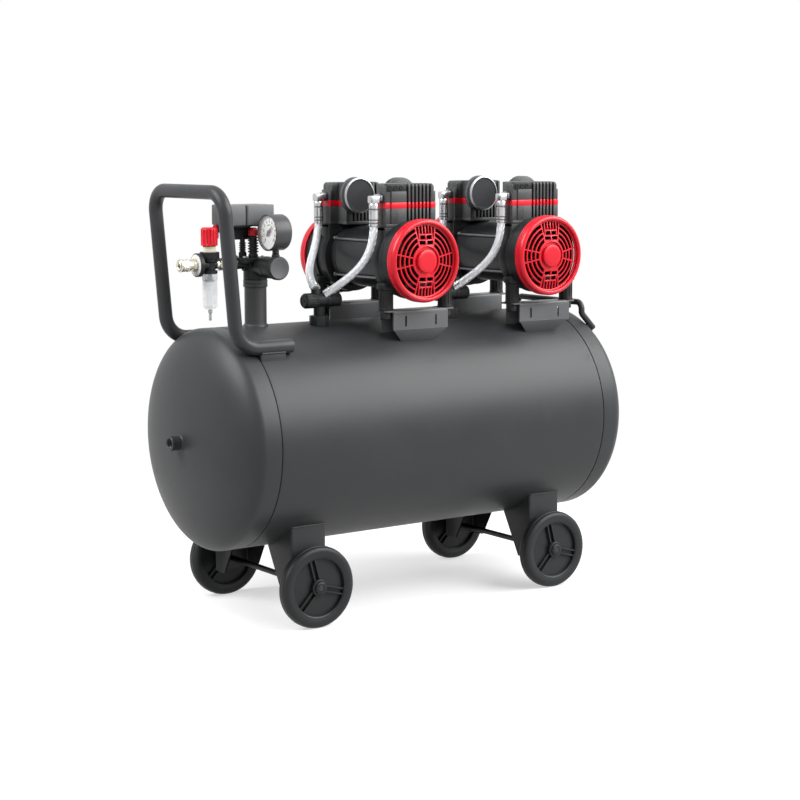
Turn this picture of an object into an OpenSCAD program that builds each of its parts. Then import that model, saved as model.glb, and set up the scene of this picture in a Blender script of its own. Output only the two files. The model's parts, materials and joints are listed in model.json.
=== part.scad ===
// Twin-pump oil-free air compressor on a wheeled horizontal tank.
// X runs along the tank, Y across it, Z up from the floor; millimetres.

/* [Tank] */
// Outside diameter of the tank
tank_d = 400; // [330:1:480]
// Length of the straight shell between the two weld seams
shell_l = 734; // [700:1:890]
// Straight skirt of each dished head, past its seam
head_skirt = 30; // [20:1:40]
// Depth of each dished head past its skirt
head_depth = 60; // [50:1:90]
// Sheet thickness of shell and heads
tank_wall = 3; // [2:0.5:5]
// Height of the underside of the tank above the floor
tank_low = 129.3; // [110:0.1:160]
// Outside diameter of the threaded port in the middle of each head
port_d = 26; // [22:1:34]
// Wall radius of the threaded holes in the ports
port_bore_r = 9; // [6:0.1:10]
// How far a port stands out of its head
port_out = 20; // [12:1:30]

/* [Running gear] */
// Wheel diameter
wheel_d = 148; // [120:1:180]
// Wheel width across the tread
wheel_w = 26; // [20:1:30]
// Distance between the outer faces of a front and a rear wheel
track_w = 343; // [300:1:412]
// Distance from the tank middle to each axle
axle_x = 273; // [240:1:290]
// Axle radius
axle_r = 6; // [5:0.5:8]
// Radial running clearance of wheels, shafts and knobs
run_gap = 0.06; // [0.02:0.01:0.1]
// Width of each leg channel along the tank
leg_w = 73; // [60:1:90]
// Gap between each leg and its wheel
leg_gap = 10.5; // [5:0.5:14]
// Sheet thickness of legs and pump brackets
leg_t = 3; // [2:0.5:4]

/* [Handle] */
// Outside diameter of the handle tube
tube_d = 25; // [20:1:30]
// Wall of the handle tube
tube_wall = 2; // [1.5:0.5:4]
// Distance between the two handle legs, centre to centre
handle_w = 245; // [200:1:294]
// Height of the handle's cross bar above the tank
handle_rise = 242; // [200:0.1:290]
// Outward lean of the handle legs in degrees
handle_lean = 5; // [2:0.5:8]
// Bend radius of the upper corners
bend_top_r = 40; // [28:1:45]
// Bend radius of the two lower corners
bend_low_r = 44; // [34:1:55]
// Where the handle feet end along the tank, measured from the tank middle
foot_end_x = 299; // [270:1:320]
// Straight length of each handle foot
foot_l = 70; // [50:1:80]
// Diameter of the grab bar at the far end
grab_d = 12; // [8:1:14]
// Distance between the legs of the grab bar, centre to centre
grab_w = 198; // [180:1:240]

/* [Pump units] */
// Position of the first pump along the tank
pump_x = -27; // [-60:1:0]
// Distance between the two pumps
pump_pitch = 296; // [270:1:320]
// Motor shaft radius
shaft_r = 6; // [5:0.5:8]
// Motor can diameter
motor_d = 116; // [100:1:124]
// Length of the motor can
motor_l = 152; // [126:1:183]
// Thickness of each crankcase along the shaft
crank_t = 30; // [26:1:36]
// Crankcase radius
crank_r = 68; // [64:1:72]
// Length of the black fan shroud in front of each crankcase
shroud_l = 30; // [26:1:36]
// Shroud radius
shroud_r = 72; // [70:1:76]
// Outer radius of the fan guard
guard_r = 76; // [74:1:82]
// Depth of the fan guard
guard_l = 20; // [18:1:28]
// Width of a cylinder block
block_w = 112; // [100:1:124]
// Height of the underside of the red band above the shaft
band_z = 94; // [90:1:100]
// Thickness of the red band
band_t = 11; // [8:1:14]
// Height of the top of a cylinder head above the shaft
head_top_z = 139; // [134:1:150]
// Radius of the round inlet filters
filter_r = 34; // [28:1:36]
// Outside diameter of the braided hoses
hose_d = 15; // [11:1:16]

/* [Pump brackets] */
// Length of each pump bracket along the tank
bracket_l = 124; // [110:1:140]
// Depth of each pump bracket across the tank
bracket_d = 42; // [34:1:50]
// How far the front face of a bracket stands out past the crankcase
bracket_out = 19; // [12:1:24]
// Height of the bracket tops above the tank
bracket_rise = 23.7; // [18:0.1:32]
// Sideways offset of the brackets from the motor shaft
bracket_shift = 9; // [0:1:12]
// Distance between the two rubber mounts of a bracket
mount_pitch = 134; // [120:1:140]
// Rubber mount diameter
rubber_d = 28; // [22:1:32]
// Height of the rubber mounts
rubber_h = 38; // [30:1:46]

/* [Controls] */
// Distance of the standpipe from the tank middle
pipe_x = 296.5; // [280:0.5:310]
// Standpipe diameter
pipe_d = 40; // [34:1:48]
// Height of the manifold's outlet above the tank
outlet_rise = 112.7; // [100:0.1:125]
// Distance from the standpipe to the filter axis
filter_gap = 94; // [90:1:105]
// Outside diameter of the pressure gauge
gauge_d = 65; // [50:1:66]
// Length of the pressure switch cover
cover_l = 95; // [80:1:100]
// Depth of the pressure switch cover
cover_w = 62; // [50:1:64]
// Height of the pressure switch cover
cover_h = 36; // [32:1:60]

/* [Hidden] */
$fn = 72;
eps = 0.05;
// clearance between separate bodies that move past each other
air = 0.4;
tank_r = tank_d / 2;
tank_z = tank_low + tank_r;
tank_top = tank_z + tank_r;
shell_x = shell_l / 2;
head_end = shell_x + head_skirt + head_depth;
wheel_r = wheel_d / 2;
wheel_y = track_w / 2;
bore_r = axle_r + run_gap;
leg_span = track_w - 2 * (wheel_w + leg_gap);
unit_xs = [pump_x, pump_x + pump_pitch];
motor_y = motor_l / 2;
crank_y = motor_y + crank_t;
shroud_y = crank_y + shroud_l;
guard_y = shroud_y + guard_l;
bracket_y = crank_y + bracket_out;
bracket_top = tank_top + bracket_rise;
// thickness of the crankcase feet, and how far their tops lie below the shaft
foot_t = 12;
foot_drop = 40;
foot_z = bracket_top + rubber_h + foot_t;
shaft_z = foot_z + foot_drop;
mount_y = bracket_y - 17;
filter_x = -pipe_x - filter_gap;
man_z = tank_top + outlet_rise;
tube_r = tube_d / 2;
tube_z = tank_z + sqrt(pow(tank_r + tube_r, 2) - pow(handle_w / 2, 2));
handle_top = tank_top + handle_rise;
flange_top = man_z + 11;
collar_z = man_z - 43;
switch_x = -pipe_x - 26;
cover_x = -pipe_x - 69;
cover_y = -26;
cover_z = flange_top + 57.5;
reg_y = 70;
reg_z = man_z - 6;
gauge_x = -pipe_x + 6;
gauge_y = -reg_y + 10;
gauge_z = man_z + 56.5;
gauge_t = 37;
safety_at = [-pipe_x - 13, -15];
cap_r = 8.8;
valve_at = [-154, -32];
valve_z = tank_top + 41.7;
// where the hoses leave the cylinder heads, seen from the motor shaft
elbow_at = [-block_w / 2 - 17, crank_y - crank_t / 2];
elbow_z = shaft_z + 113;
hose_top = elbow_z - 51;
drain_x = -176;
drain_z = tank_low;

coat = [0.22, 0.23, 0.24];
black = [0.1, 0.1, 0.11];
red = [0.85, 0.08, 0.1];
steel = [0.75, 0.76, 0.78];
brass = [0.78, 0.76, 0.62];

// ---- helpers -------------------------------------------------------------

// straight round bars that start at the origin and run along +X or +Y
module bar_x(h, r) rotate([0, 90, 0]) cylinder(h = h, r = r);
module bar_y(h, r) rotate([-90, 0, 0]) cylinder(h = h, r = r);

// an outline drawn in X and Z, filled from y0 to y1
module slab_y(y0, y1) translate([0, y1, 0]) rotate([90, 0, 0])
    linear_extrude(y1 - y0) children();

// an outline drawn in Y and Z, filled from x0 to x1
module slab_x(x0, x1) translate([x0, 0, 0]) rotate([90, 0, 90])
    linear_extrude(x1 - x0) children();

// rectangle with round corners, built of true arcs
module round_rect(w, h, r) {
    translate([-w / 2 + r, -h / 2]) square([w - 2 * r, h]);
    translate([-w / 2, -h / 2 + r]) square([w, h - 2 * r]);
    for (x = [-1, 1], y = [-1, 1])
        translate([x * (w / 2 - r), y * (h / 2 - r)]) circle(r);
}

// the child in front and again at the back
module front_and_rear() { children(); mirror([0, 1, 0]) children(); }

// the child twice, half a turn apart about the vertical through a pump
module both_ends() { children(); rotate([0, 0, 180]) children(); }

// solid round body with the tank's outside diameter, used to fit feet to it
module tank_space() translate([-head_end, 0, tank_z]) bar_x(2 * head_end, tank_r);

// straight bars lap over the ends of the bends, which are a hair thinner
lap = 0.6;
hair = 0.05;

// bar bent through an angle: starts at the origin along +Y and turns to +X
module bend(r_bend, angle, r) translate([r_bend, 0, 0]) rotate([0, 0, 180 - angle])
    rotate_extrude(angle = angle) translate([r_bend, 0]) circle(r - hair);

// hexagon across flats w, from z = 0
module hex_bar(w, h) cylinder(h = h, r = w / sqrt(3), $fn = 6);

// ---- tank ----------------------------------------------------------------

module tank_shell() color(coat) translate([-shell_x, 0, tank_z]) difference() {
    bar_x(shell_l, tank_r);
    translate([-eps, 0, 0]) bar_x(shell_l + 2 * eps, tank_r - tank_wall);
}

// half section of a dished head: a straight skirt, then a quarter ellipse
function dish(r, depth) = [for (a = [0:6:90]) [r * cos(a), head_skirt + depth * sin(a)]];

module tank_head() difference() {
    rotate([0, 90, 0]) rotate_extrude() difference() {
        polygon(concat([[0, 0], [tank_r, 0]], dish(tank_r, head_depth)));
        translate([0, -eps]) polygon(concat([[0, 0], [tank_r - tank_wall, 0]],
            dish(tank_r - tank_wall, head_depth - tank_wall)));
    }
    bar_x(2 * head_depth, port_d / 2);
}

module tank_heads() color(coat) translate([0, 0, tank_z]) for (s = [0, 180])
    rotate([0, 0, s]) translate([shell_x, 0, 0]) tank_head();

module end_ports() color(coat) translate([0, 0, tank_z]) for (s = [0, 180])
    rotate([0, 0, s]) translate([head_end - 8, 0, 0]) difference() {
        bar_x(port_out + 8, port_d / 2);
        translate([8, 0, 0]) bar_x(port_out + 1, port_bore_r);
    }

module drain_valve() color(brass) translate([drain_x, 0, drain_z]) difference() {
    union() {
        translate([0, 0, -14]) cylinder(h = 17, r = 12);
        translate([0, 0, -34]) cylinder(h = 21, r = 8);
    }
    translate([-20, 0, tank_r]) bar_x(40, tank_r);
    translate([0, 0, -35]) cylinder(h = 30, r = 3 + run_gap);
}

module drain_tap() color(red) translate([drain_x, 0, drain_z - 34]) {
    translate([0, 0, -9]) cylinder(h = 9 - air, r = 7);
    translate([-14, -2, -9]) cube([28, 4, 7]);
    translate([0, 0, -2]) cylinder(h = 12, r = 3);
}

// ---- running gear ----------------------------------------------------------

// bottom edge of a leg, below its axle
leg_low = wheel_r - 19;

module leg() difference() {
    union() {
        translate([-leg_w / 2, -leg_span / 2, leg_low]) cube([leg_w, leg_t, tank_z - leg_low]);
        for (x = [-leg_w / 2, leg_w / 2 - leg_t]) slab_x(x, x + leg_t) polygon([
            [-leg_span / 2, leg_low], [-leg_span / 2 + 34, leg_low],
            [-leg_span / 2 + 80, tank_low + 8], [-leg_span / 2 + 80, tank_z],
            [-leg_span / 2, tank_z]]);
    }
    tank_space();
    translate([-leg_w, -leg_span, tank_z]) cube([2 * leg_w, leg_span, tank_r]);
    translate([0, -leg_span / 2 - 1, wheel_r]) bar_y(leg_t + 2, axle_r);
}

module legs() color(coat) for (x = [-axle_x, axle_x]) front_and_rear()
    translate([x, 0, 0]) leg();

// how far the axles reach past the outer wheel faces
axle_out = 4;

module axles() color(steel) for (x = [-axle_x, axle_x])
    translate([x, -wheel_y - axle_out, wheel_r]) bar_y(2 * (wheel_y + axle_out), axle_r);

module wheel_clips() color(black) for (x = [-axle_x, axle_x]) front_and_rear() {
    translate([x, -wheel_y - axle_out, wheel_r]) difference() {
        bar_y(2.6, axle_r + 5);
        translate([0, -1, 0]) bar_y(5, axle_r);
    }
    translate([x, -wheel_y + wheel_w + air, wheel_r]) difference() {
        bar_y(wheel_y - wheel_w - leg_span / 2 - 2 * air, axle_r + 5);
        translate([0, -1, 0]) bar_y(20, axle_r);
    }
}

hub_r = 15;
recess_r = 0.71 * wheel_r;
recess_t = 9;

// wheel on the Y axis, outer face at y = 0, running inward to wheel_w
module wheel() difference() {
    union() {
        rotate([-90, 0, 0]) rotate_extrude() {
            translate([recess_r, 0]) square([wheel_r - recess_r - 6, wheel_w]);
            translate([recess_r, 6]) square([wheel_r - recess_r, wheel_w - 12]);
            translate([wheel_r - 6, 6]) circle(6);
            translate([wheel_r - 6, wheel_w - 6]) circle(6);
            translate([0, recess_t]) square([recess_r + eps, wheel_w - 2 * recess_t]);
        }
        bar_y(wheel_w, hub_r);
        for (a = [15, 135, 255], s = [-1, 1]) rotate([0, a, 0])
            translate([hub_r - 2, 3, s * 5 - 1.5]) cube([recess_r - hub_r + 3, recess_t, 3]);
    }
    translate([0, -1, 0]) bar_y(wheel_w + 2, bore_r);
}

module wheel_at(x) color(coat) translate([x, -wheel_y, wheel_r]) wheel();
module wheel_front_left() wheel_at(-axle_x);
module wheel_front_right() wheel_at(axle_x);
module wheel_rear_left() mirror([0, 1, 0]) wheel_at(-axle_x);
module wheel_rear_right() mirror([0, 1, 0]) wheel_at(axle_x);

// ---- handles ---------------------------------------------------------------

bend_x = -foot_end_x - foot_l;
leg_turn = 90 - handle_lean;
// where a handle leg starts, at the end of its lower bend
leg_x = bend_x - bend_low_r * sin(leg_turn);
leg_z = tube_z + bend_low_r * (1 - cos(leg_turn));
leg_rise = (handle_top - leg_z) / cos(handle_lean);

// the lower end of the front leg, with the leg's lean
module at_leg() translate([leg_x, -handle_w / 2, leg_z]) rotate([0, -handle_lean, 0]) children();

// one side of the handle: foot, lower bend, leg and upper bend
module handle_side() {
    translate([bend_x, -handle_w / 2, tube_z]) {
        translate([-lap, 0, 0]) bar_x(foot_l + lap, tube_r);
        rotate([90, -90, 0]) bend(bend_low_r, leg_turn, tube_r);
    }
    at_leg() {
        translate([0, 0, -lap]) cylinder(h = leg_rise - bend_top_r + 2 * lap, r = tube_r);
        translate([0, 0, leg_rise - bend_top_r]) rotate([90, 0, 90])
            bend(bend_top_r, 90, tube_r);
    }
}

module handle() color(coat) {
    difference() {
        union() {
            front_and_rear() handle_side();
            at_leg() translate([0, bend_top_r - lap, leg_rise])
                bar_y(handle_w - 2 * bend_top_r + 2 * lap, tube_r);
        }
        front_and_rear() translate([bend_x + 2, -handle_w / 2, tube_z])
            bar_x(foot_l, tube_r - tube_wall);
    }
    front_and_rear() difference() {
        translate([bend_x + 2, -handle_w / 2 - 9, tube_z - tube_r - 14])
            cube([foot_l - 20, 22, 16]);
        tank_space();
        translate([bend_x - 10, -handle_w / 2, tube_z]) bar_x(foot_l + 20, tube_r);
    }
}

grab_r = grab_d / 2;
grab_x = shell_x + head_skirt - 2;
grab_bend = 14;
// angle and bend radius that lay each foot along the dished head
foot_turn = 45;
foot_bend = 12;
foot_rod = 38;
// where a leg starts to bend, above the surface below it
grab_low = tank_z + sqrt(pow(tank_r, 2) - pow(grab_w / 2, 2)) + 24.3;
// straight part of each leg between its two bends
grab_leg = 2.6;
grab_z = grab_low + grab_leg + grab_bend;

// one leg with its bend and the foot that runs out over the head
module grab_side() translate([grab_x, -grab_w / 2, 0]) {
    translate([0, 0, grab_z - grab_bend]) rotate([90, 0, 90]) bend(grab_bend, 90, grab_r);
    translate([0, 0, grab_low - lap])
        cylinder(h = grab_leg + 2 * lap, r = grab_r);
    translate([0, 0, grab_low]) rotate([-90, 0, 0]) bend(foot_bend, foot_turn, grab_r);
    translate([foot_bend * (1 - cos(foot_turn)), 0, grab_low - foot_bend * sin(foot_turn)])
        rotate([0, 180 - foot_turn, 0]) translate([0, 0, -lap])
            cylinder(h = foot_rod + lap, r = grab_r);
}

module grab_bar() color(coat) difference() {
    union() {
        front_and_rear() grab_side();
        translate([grab_x, -grab_w / 2 + grab_bend - lap, grab_z])
            bar_y(grab_w - 2 * grab_bend + 2 * lap, grab_r);
    }
    translate([shell_x, 0, tank_z]) rotate([0, 90, 0]) rotate_extrude()
        polygon(concat([[0, 0], [tank_r, 0]], dish(tank_r, head_depth)));
}

// ---- standpipe, manifold and switch ------------------------------------------

module standpipe() color(black) translate([-pipe_x, 0, 0]) difference() {
    union() {
        translate([0, 0, tank_top - 8]) cylinder(h = collar_z - tank_top + 8, r = pipe_d / 2);
        translate([0, 0, collar_z]) cylinder(h = 13, r = pipe_d / 2 + 2);
    }
    translate([pipe_x, 0, 0]) tank_space();
    translate([0, 0, tank_top - 10]) cylinder(h = 200, r = pipe_d / 2 - 5);
}

body_r = pipe_d / 2 + 1.5;

module manifold() color(black) difference() {
    union() {
        translate([-pipe_x, 0, collar_z + 13]) cylinder(h = flange_top - collar_z - 23, r = body_r);
        translate([-pipe_x - 12, 0, flange_top - 10]) linear_extrude(10)
            round_rect(52, 44, 12);
        translate([-pipe_x - 40, 0, man_z]) bar_x(40, 10);
        translate([-pipe_x, -reg_y, reg_z]) bar_y(reg_y, 17);
        translate([-pipe_x, -reg_y, reg_z]) bar_y(34, 19.5);
        translate([gauge_x, gauge_y, reg_z]) cylinder(h = gauge_z - gauge_r - reg_z - 3, r = 6);
        translate([gauge_x, gauge_y, reg_z + 17]) hex_bar(14, 6);
        for (a = [0, 180]) translate([-pipe_x, 0, reg_z]) rotate([0, 0, a])
            translate([body_r - 4, 0, 0]) bar_x(8, 8);
    }
    translate([-pipe_x, 0, collar_z]) cylinder(h = 40, r = pipe_d / 2 - 7);
    translate([-pipe_x, -reg_y - 1, reg_z]) bar_y(9, 5 + run_gap);
    translate([-pipe_x - 41, 0, man_z]) bar_x(16, 7);
}

module switch_base() color(black) {
    translate([switch_x, 0, flange_top]) {
        hex_bar(14, 8);
        for (z = [8:4:24]) translate([0, 0, z]) cylinder(h = 2, r = 6.5);
        cylinder(h = cover_z - flange_top - 22, r = 5.2);
    }
    translate([switch_x, 16, cover_z - 26]) linear_extrude(23) round_rect(33, 38, 4);
    // floor of the switch, cut away where the safety valve's cap rises
    difference() {
        translate([cover_x + cover_l / 2, cover_y + cover_w / 2, cover_z - 3])
            linear_extrude(3) round_rect(cover_l - 6, cover_w - 6, 4);
        translate([safety_at[0], safety_at[1], cover_z - 4]) cylinder(h = 5, r = cap_r + 2);
    }
    // lug that carries the lever's pin
    translate([cover_x + 3, cover_y + lever_y, cover_z]) difference() {
        translate([0, -10, -lever_drop - 7]) cube([10, 20, lever_drop + 5]);
        translate([-1, 0, -lever_drop]) bar_x(12, 3 + run_gap);
    }
}

cover_wall = 2.5;
// pivot of the lever: behind the front face of the cover, and below its bottom edge
lever_y = 42;
lever_drop = 6.5;

module switch_cover() color(coat) translate([cover_x, cover_y, cover_z]) difference() {
    translate([cover_l / 2, cover_w / 2, 0]) linear_extrude(cover_h)
        round_rect(cover_l, cover_w, 4);
    translate([cover_wall, cover_wall, -1])
        cube([cover_l - 2 * cover_wall, cover_w - 2 * cover_wall, cover_h + 1 - cover_wall]);
    translate([36, -1, -1]) cube([1.5, 2.2, cover_h + 2]);
}

// rocker past the end of the cover; it turns about X
module switch_lever() color(red) translate([cover_x, cover_y + lever_y, cover_z - lever_drop]) {
    translate([-6, 0, 0]) bar_x(15, 3);
    slab_x(-6, -air) {
        circle(7.5);
        translate([-7.5, -17]) square([15, 17]);
    }
}

// ---- pressure gauge -----------------------------------------------------------

gauge_r = gauge_d / 2;
gauge_face = gauge_x - gauge_t / 2;

module gauge_case() color(black) translate([0, gauge_y, gauge_z]) {
    difference() {
        union() {
            translate([gauge_face, 0, 0]) bar_x(gauge_t, gauge_r);
            translate([gauge_x, 0, -gauge_r - 3]) cylinder(h = 8, r = 6);
        }
        translate([gauge_face - 1, 0, 0]) bar_x(7, gauge_r - 3);
        translate([gauge_face, 0, 0]) bar_x(12, 1.5 + run_gap);
    }
}

module gauge_glass() color([0.9, 0.95, 1, 0.3]) translate([gauge_face + 0.5, gauge_y, gauge_z])
    bar_x(1.5, gauge_r - 3);

// points up and towards the front, two thirds along its swing
needle_rest = 45;

module gauge_needle() color(black) translate([gauge_face + 3.4, gauge_y, gauge_z]) {
    bar_x(1.2, 4);
    bar_x(7, 1.5);
    rotate([needle_rest, 0, 0]) slab_x(0, 0.8) polygon([[-1.6, -8], [1.6, -8], [0.5, 22], [-0.5, 22]]);
}

// ---- regulator and safety valve -------------------------------------------------

knob_r = 21;
// height of the safety valve under its cap
safety_h = 38;

module regulator_knob() color(black) translate([-pipe_x, -reg_y, reg_z]) {
    translate([0, -12, 0]) difference() {
        bar_y(12 - air, knob_r);
        for (a = [0:15:345]) rotate([0, a, 0]) translate([knob_r + 0.6, 2, 0]) bar_y(12, 1.6);
    }
    translate([0, -1, 0]) bar_y(8, 5);
}

module safety_valve() color(black) translate([safety_at[0], safety_at[1], flange_top]) {
    difference() {
        union() {
            hex_bar(17, 6);
            cylinder(h = safety_h, r = 8);
            for (z = [9:5:34]) translate([0, 0, z]) cylinder(h = 2.5, r = 9.6);
        }
        translate([0, 0, safety_h - 14]) cylinder(h = 20, r = 3 + run_gap);
    }
}

module safety_cap() color(red) translate([safety_at[0], safety_at[1], flange_top + safety_h]) {
    translate([0, 0, air]) cylinder(h = 11, r = cap_r);
    translate([0, 0, 11]) cylinder(h = 4, r1 = cap_r, r2 = cap_r - 2.8);
    translate([0, 0, -10]) cylinder(h = 12, r = 3);
}

// ---- outlet filter and coupler ---------------------------------------------------

module at_filter() translate([filter_x, 0, man_z]) children();

bonnet_z = 10.5;
bonnet_r = 17.5;
// disc between the filter and its coupler, and its distance from the filter axis
disc_r = 21;
disc_t = 8;
disc_x = 28;

module filter_body() color(black) at_filter() difference() {
    union() {
        translate([0, 0, -15]) cylinder(h = 15 + bonnet_z, r = 10);
        translate([0, 0, -16]) cylinder(h = 6, r = 14);
        translate([0, 0, 5]) cylinder(h = bonnet_z - 5, r = 15);
        translate([-disc_x + 1, 0, 0]) bar_x(disc_x + 11, 9);
        translate([-disc_x, 0, 0]) bar_x(disc_t, disc_r);
    }
    translate([-disc_x - 1, 0, 0]) bar_x(disc_x - 9, 6);
    translate([8, 0, 0]) bar_x(5, 6);
    // seats of the bonnet and of the nipple
    translate([0, 0, bonnet_z]) cylinder(h = 20, r = bonnet_r + 0.1);
    translate([12, 0, 0]) bar_x(10, 12);
}

module filter_bonnet() color(black) at_filter() {
    translate([0, 0, bonnet_z]) cylinder(h = 12, r = bonnet_r);
    translate([0, 0, bonnet_z + 12]) cylinder(h = 10.5, r = 11.5);
    translate([0, 0, bonnet_z + 22.5]) cylinder(h = 12, r = 6);
}

module filter_knob() color(red) at_filter() translate([0, 0, bonnet_z + 22.5]) difference() {
    translate([0, 0, air]) cylinder(h = 33 - air, r = 15);
    translate([0, 0, -1]) cylinder(h = 13.5, r = 6 + run_gap);
    for (a = [0:18:342]) rotate([0, 0, a]) translate([15.8, 0, 2]) cylinder(h = 33, r = 1.7);
}

bowl_r = 13.5;
bowl_wall = 2;
bowl_l = 63;

// outline of the bowl: straight, then drawn in to a narrower round base
function bowl_line(r, l) = [[0, 0], [r, 0], [r, -l + 12], for (a = [0:15:90])
    [r - 8 + 8 * cos(a), -l + 8 - 8 * sin(a)], [0, -l]];

module filter_bowl() color([0.9, 0.93, 0.95, 0.4]) at_filter() translate([0, 0, -16]) {
    difference() {
        rotate_extrude() polygon(bowl_line(bowl_r, bowl_l));
        translate([0, 0, eps]) rotate_extrude()
            polygon(bowl_line(bowl_r - bowl_wall, bowl_l - bowl_wall));
    }
    translate([0, 0, -bowl_l - 20]) cylinder(h = 20, r = 2.6);
}

nipple_l = filter_gap - 40 - 12;

module filter_nipple() color(brass) translate([filter_x + 12, 0, man_z]) {
    translate([6, 0, 0]) rotate([0, 90, 0]) hex_bar(20, 12);
    bar_x(nipple_l, 8);
    translate([nipple_l - 12, 0, 0]) rotate([0, 90, 0]) hex_bar(20, 10);
}

coupler_x = filter_x - disc_x;
coupler_l = 35;
coupler_hex = 7;
outlet_r = 5;

module coupler_body() color(brass) translate([coupler_x, 0, man_z]) difference() {
    union() {
        translate([-1 - coupler_hex, 0, 0]) rotate([0, 90, 0]) hex_bar(20, coupler_hex);
        translate([-2, 0, 0]) bar_x(2, 8);
        translate([-coupler_l, 0, 0]) bar_x(coupler_l - coupler_hex, 8.5);
    }
    translate([-coupler_l - 1, 0, 0]) bar_x(coupler_l - 7.5, outlet_r);
}

module coupler_sleeve() color(brass) translate([coupler_x - coupler_l + 2, 0, man_z]) difference() {
    union() {
        bar_x(19, 10.5);
        bar_x(4, 11.5);
        translate([15, 0, 0]) bar_x(4, 11.2);
    }
    translate([-1, 0, 0]) bar_x(26, 8.5 + run_gap);
}

// ---- pump units --------------------------------------------------------------------

module at_shaft() translate([0, 0, shaft_z]) children();

// one sheet bracket: top, two walls and a tongue down to the tank
module bracket() difference() {
    translate([bracket_shift, 0, 0]) union() {
        translate([-bracket_l / 2 - 15, -bracket_y, bracket_top - leg_t])
            cube([bracket_l + 30, bracket_d, leg_t]);
        for (y = [-bracket_y, -bracket_y + bracket_d - leg_t])
            translate([-bracket_l / 2, y, bracket_top - 36]) cube([bracket_l, leg_t, 36]);
        translate([0, -bracket_y, bracket_top - 36]) rotate([30, 0, 0]) slab_y(0, leg_t)
            polygon([[-bracket_l / 2, 0.8], [bracket_l / 2, 0.8], [bracket_l / 4, -45],
                [-bracket_l / 4, -45]]);
        translate([-bracket_l / 2, -bracket_y + bracket_d - leg_t, tank_top - 60])
            cube([bracket_l, leg_t, bracket_rise + 36]);
    }
    tank_space();
    for (x = [-1, 1]) translate([bracket_shift + x * 34 - 1.8, -bracket_y - 1, bracket_top - 30])
        cube([3.6, leg_t + 2, 21]);
}

module brackets() color(coat) front_and_rear() bracket();

// lower half of each rubber mount, under the bracket top
buffer_r = 11;
buffer_h = 14;

// the upper half is relieved where the shroud passes it
module rubber_mounts() color(black) front_and_rear() for (x = [-1, 1]) {
    difference() {
        translate([bracket_shift + x * mount_pitch / 2, -mount_y, bracket_top])
            cylinder(h = rubber_h, r = rubber_d / 2);
        at_shaft() translate([0, -shroud_y, 0]) bar_y(shroud_l + crank_t, shroud_r + 0.3);
    }
    translate([bracket_shift + x * mount_pitch / 2, -mount_y, bracket_top - leg_t - buffer_h])
        cylinder(h = buffer_h, r = buffer_r);
}

module motor_case() color(black) at_shaft() {
    difference() {
        translate([0, -motor_y, 0]) bar_y(motor_l, motor_d / 2);
        translate([0, -motor_y + 5, 0]) bar_y(motor_l - 10, motor_d / 2 - 6);
        translate([0, -motor_y - 1, 0]) bar_y(motor_l + 2, shaft_r + 4);
    }
    for (a = [35, 145, 215, 325]) rotate([0, a, 0]) translate([motor_d / 2 + 1, -motor_y, 0])
        bar_y(motor_l, 2.5);
}

// height of a cylinder block under its red band
block_h = 34;

// front crankcase with its shroud and feet
module crankcase() at_shaft() difference() {
    union() {
        slab_y(-crank_y, -motor_y) {
            circle(crank_r);
            translate([-block_w / 2 - 3, 0]) square([block_w + 6, band_z - block_h]);
        }
        translate([0, -shroud_y, 0]) bar_y(shroud_l + 4, shroud_r);
        translate([bracket_shift - mount_pitch / 2 - 15, -mount_y - 13, -foot_drop - foot_t])
            cube([mount_pitch + 30, 26, foot_t]);
    }
    translate([0, -shroud_y - 1, 0]) bar_y(shroud_l + 1, shroud_r - 4);
    translate([0, -crank_y - 1, 0]) bar_y(crank_t + 2, shaft_r + run_gap);
    translate([0, -crank_y + 6, 0]) bar_y(crank_t - 12, 40);
    // seat of the cylinder block
    translate([-block_w, -crank_y, band_z - block_h]) cube([2 * block_w, crank_t + 1, block_h]);
}

module crankcases() color(black) front_and_rear() crankcase();

// plan outline of a cylinder block: wide in front, narrower towards the motor
module block_plan(w) {
    translate([-w / 2, -crank_y]) square([w, crank_t]);
    translate([-37, -crank_y]) square([74, crank_t + 26]);
}

fin_n = 7;
fin_pitch = 8.4;

// vertical cooling slots: across the right part of the outer face and on the barrel
module fin_slots(z0, z1) {
    for (i = [0:fin_n - 1])
        translate([-10 + i * fin_pitch, -crank_y - 1, z0]) cube([4.2, 9, z1 - z0]);
    for (i = [0:fin_n - 1])
        translate([-32 + i * fin_pitch, -motor_y + 20, z0]) cube([4.2, 7, z1 - z0]);
}

module cylinder_block() at_shaft() difference() {
    translate([0, 0, band_z - block_h]) linear_extrude(block_h) block_plan(block_w);
    fin_slots(band_z - block_h + 6, band_z + 1);
    translate([0, -crank_y + 28, band_z - 40]) cylinder(h = 50, r = 21);
}

module cylinders() color(black) both_ends() cylinder_block();

module head_bands() color(red) both_ends() at_shaft() difference() {
    translate([0, 0, band_z]) linear_extrude(band_t) block_plan(block_w);
    fin_slots(band_z - 1, band_z + band_t + 1);
}

module cylinder_head() at_shaft() difference() {
    slab_y(-crank_y, -motor_y + 26) {
        translate([-block_w / 2, band_z + band_t])
            square([block_w - 4, head_top_z - band_z - band_t - 8]);
        translate([-block_w / 2 + 8, band_z + band_t])
            square([block_w - 20, head_top_z - band_z - band_t]);
        for (x = [-block_w / 2 + 8, block_w / 2 - 12])
            translate([x, head_top_z - 8]) circle(8);
        translate([block_w / 2 - 8, band_z + band_t])
            square([8, head_top_z - band_z - band_t - 14]);
    }
    for (s = [-1, 1]) translate([s * (37 + 50), -motor_y + 25, 0]) cube([100, 50, 400], center = true);
    fin_slots(band_z + band_t - 1, head_top_z + 1);
}

module cylinder_heads() color(black) both_ends() cylinder_head();

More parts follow.
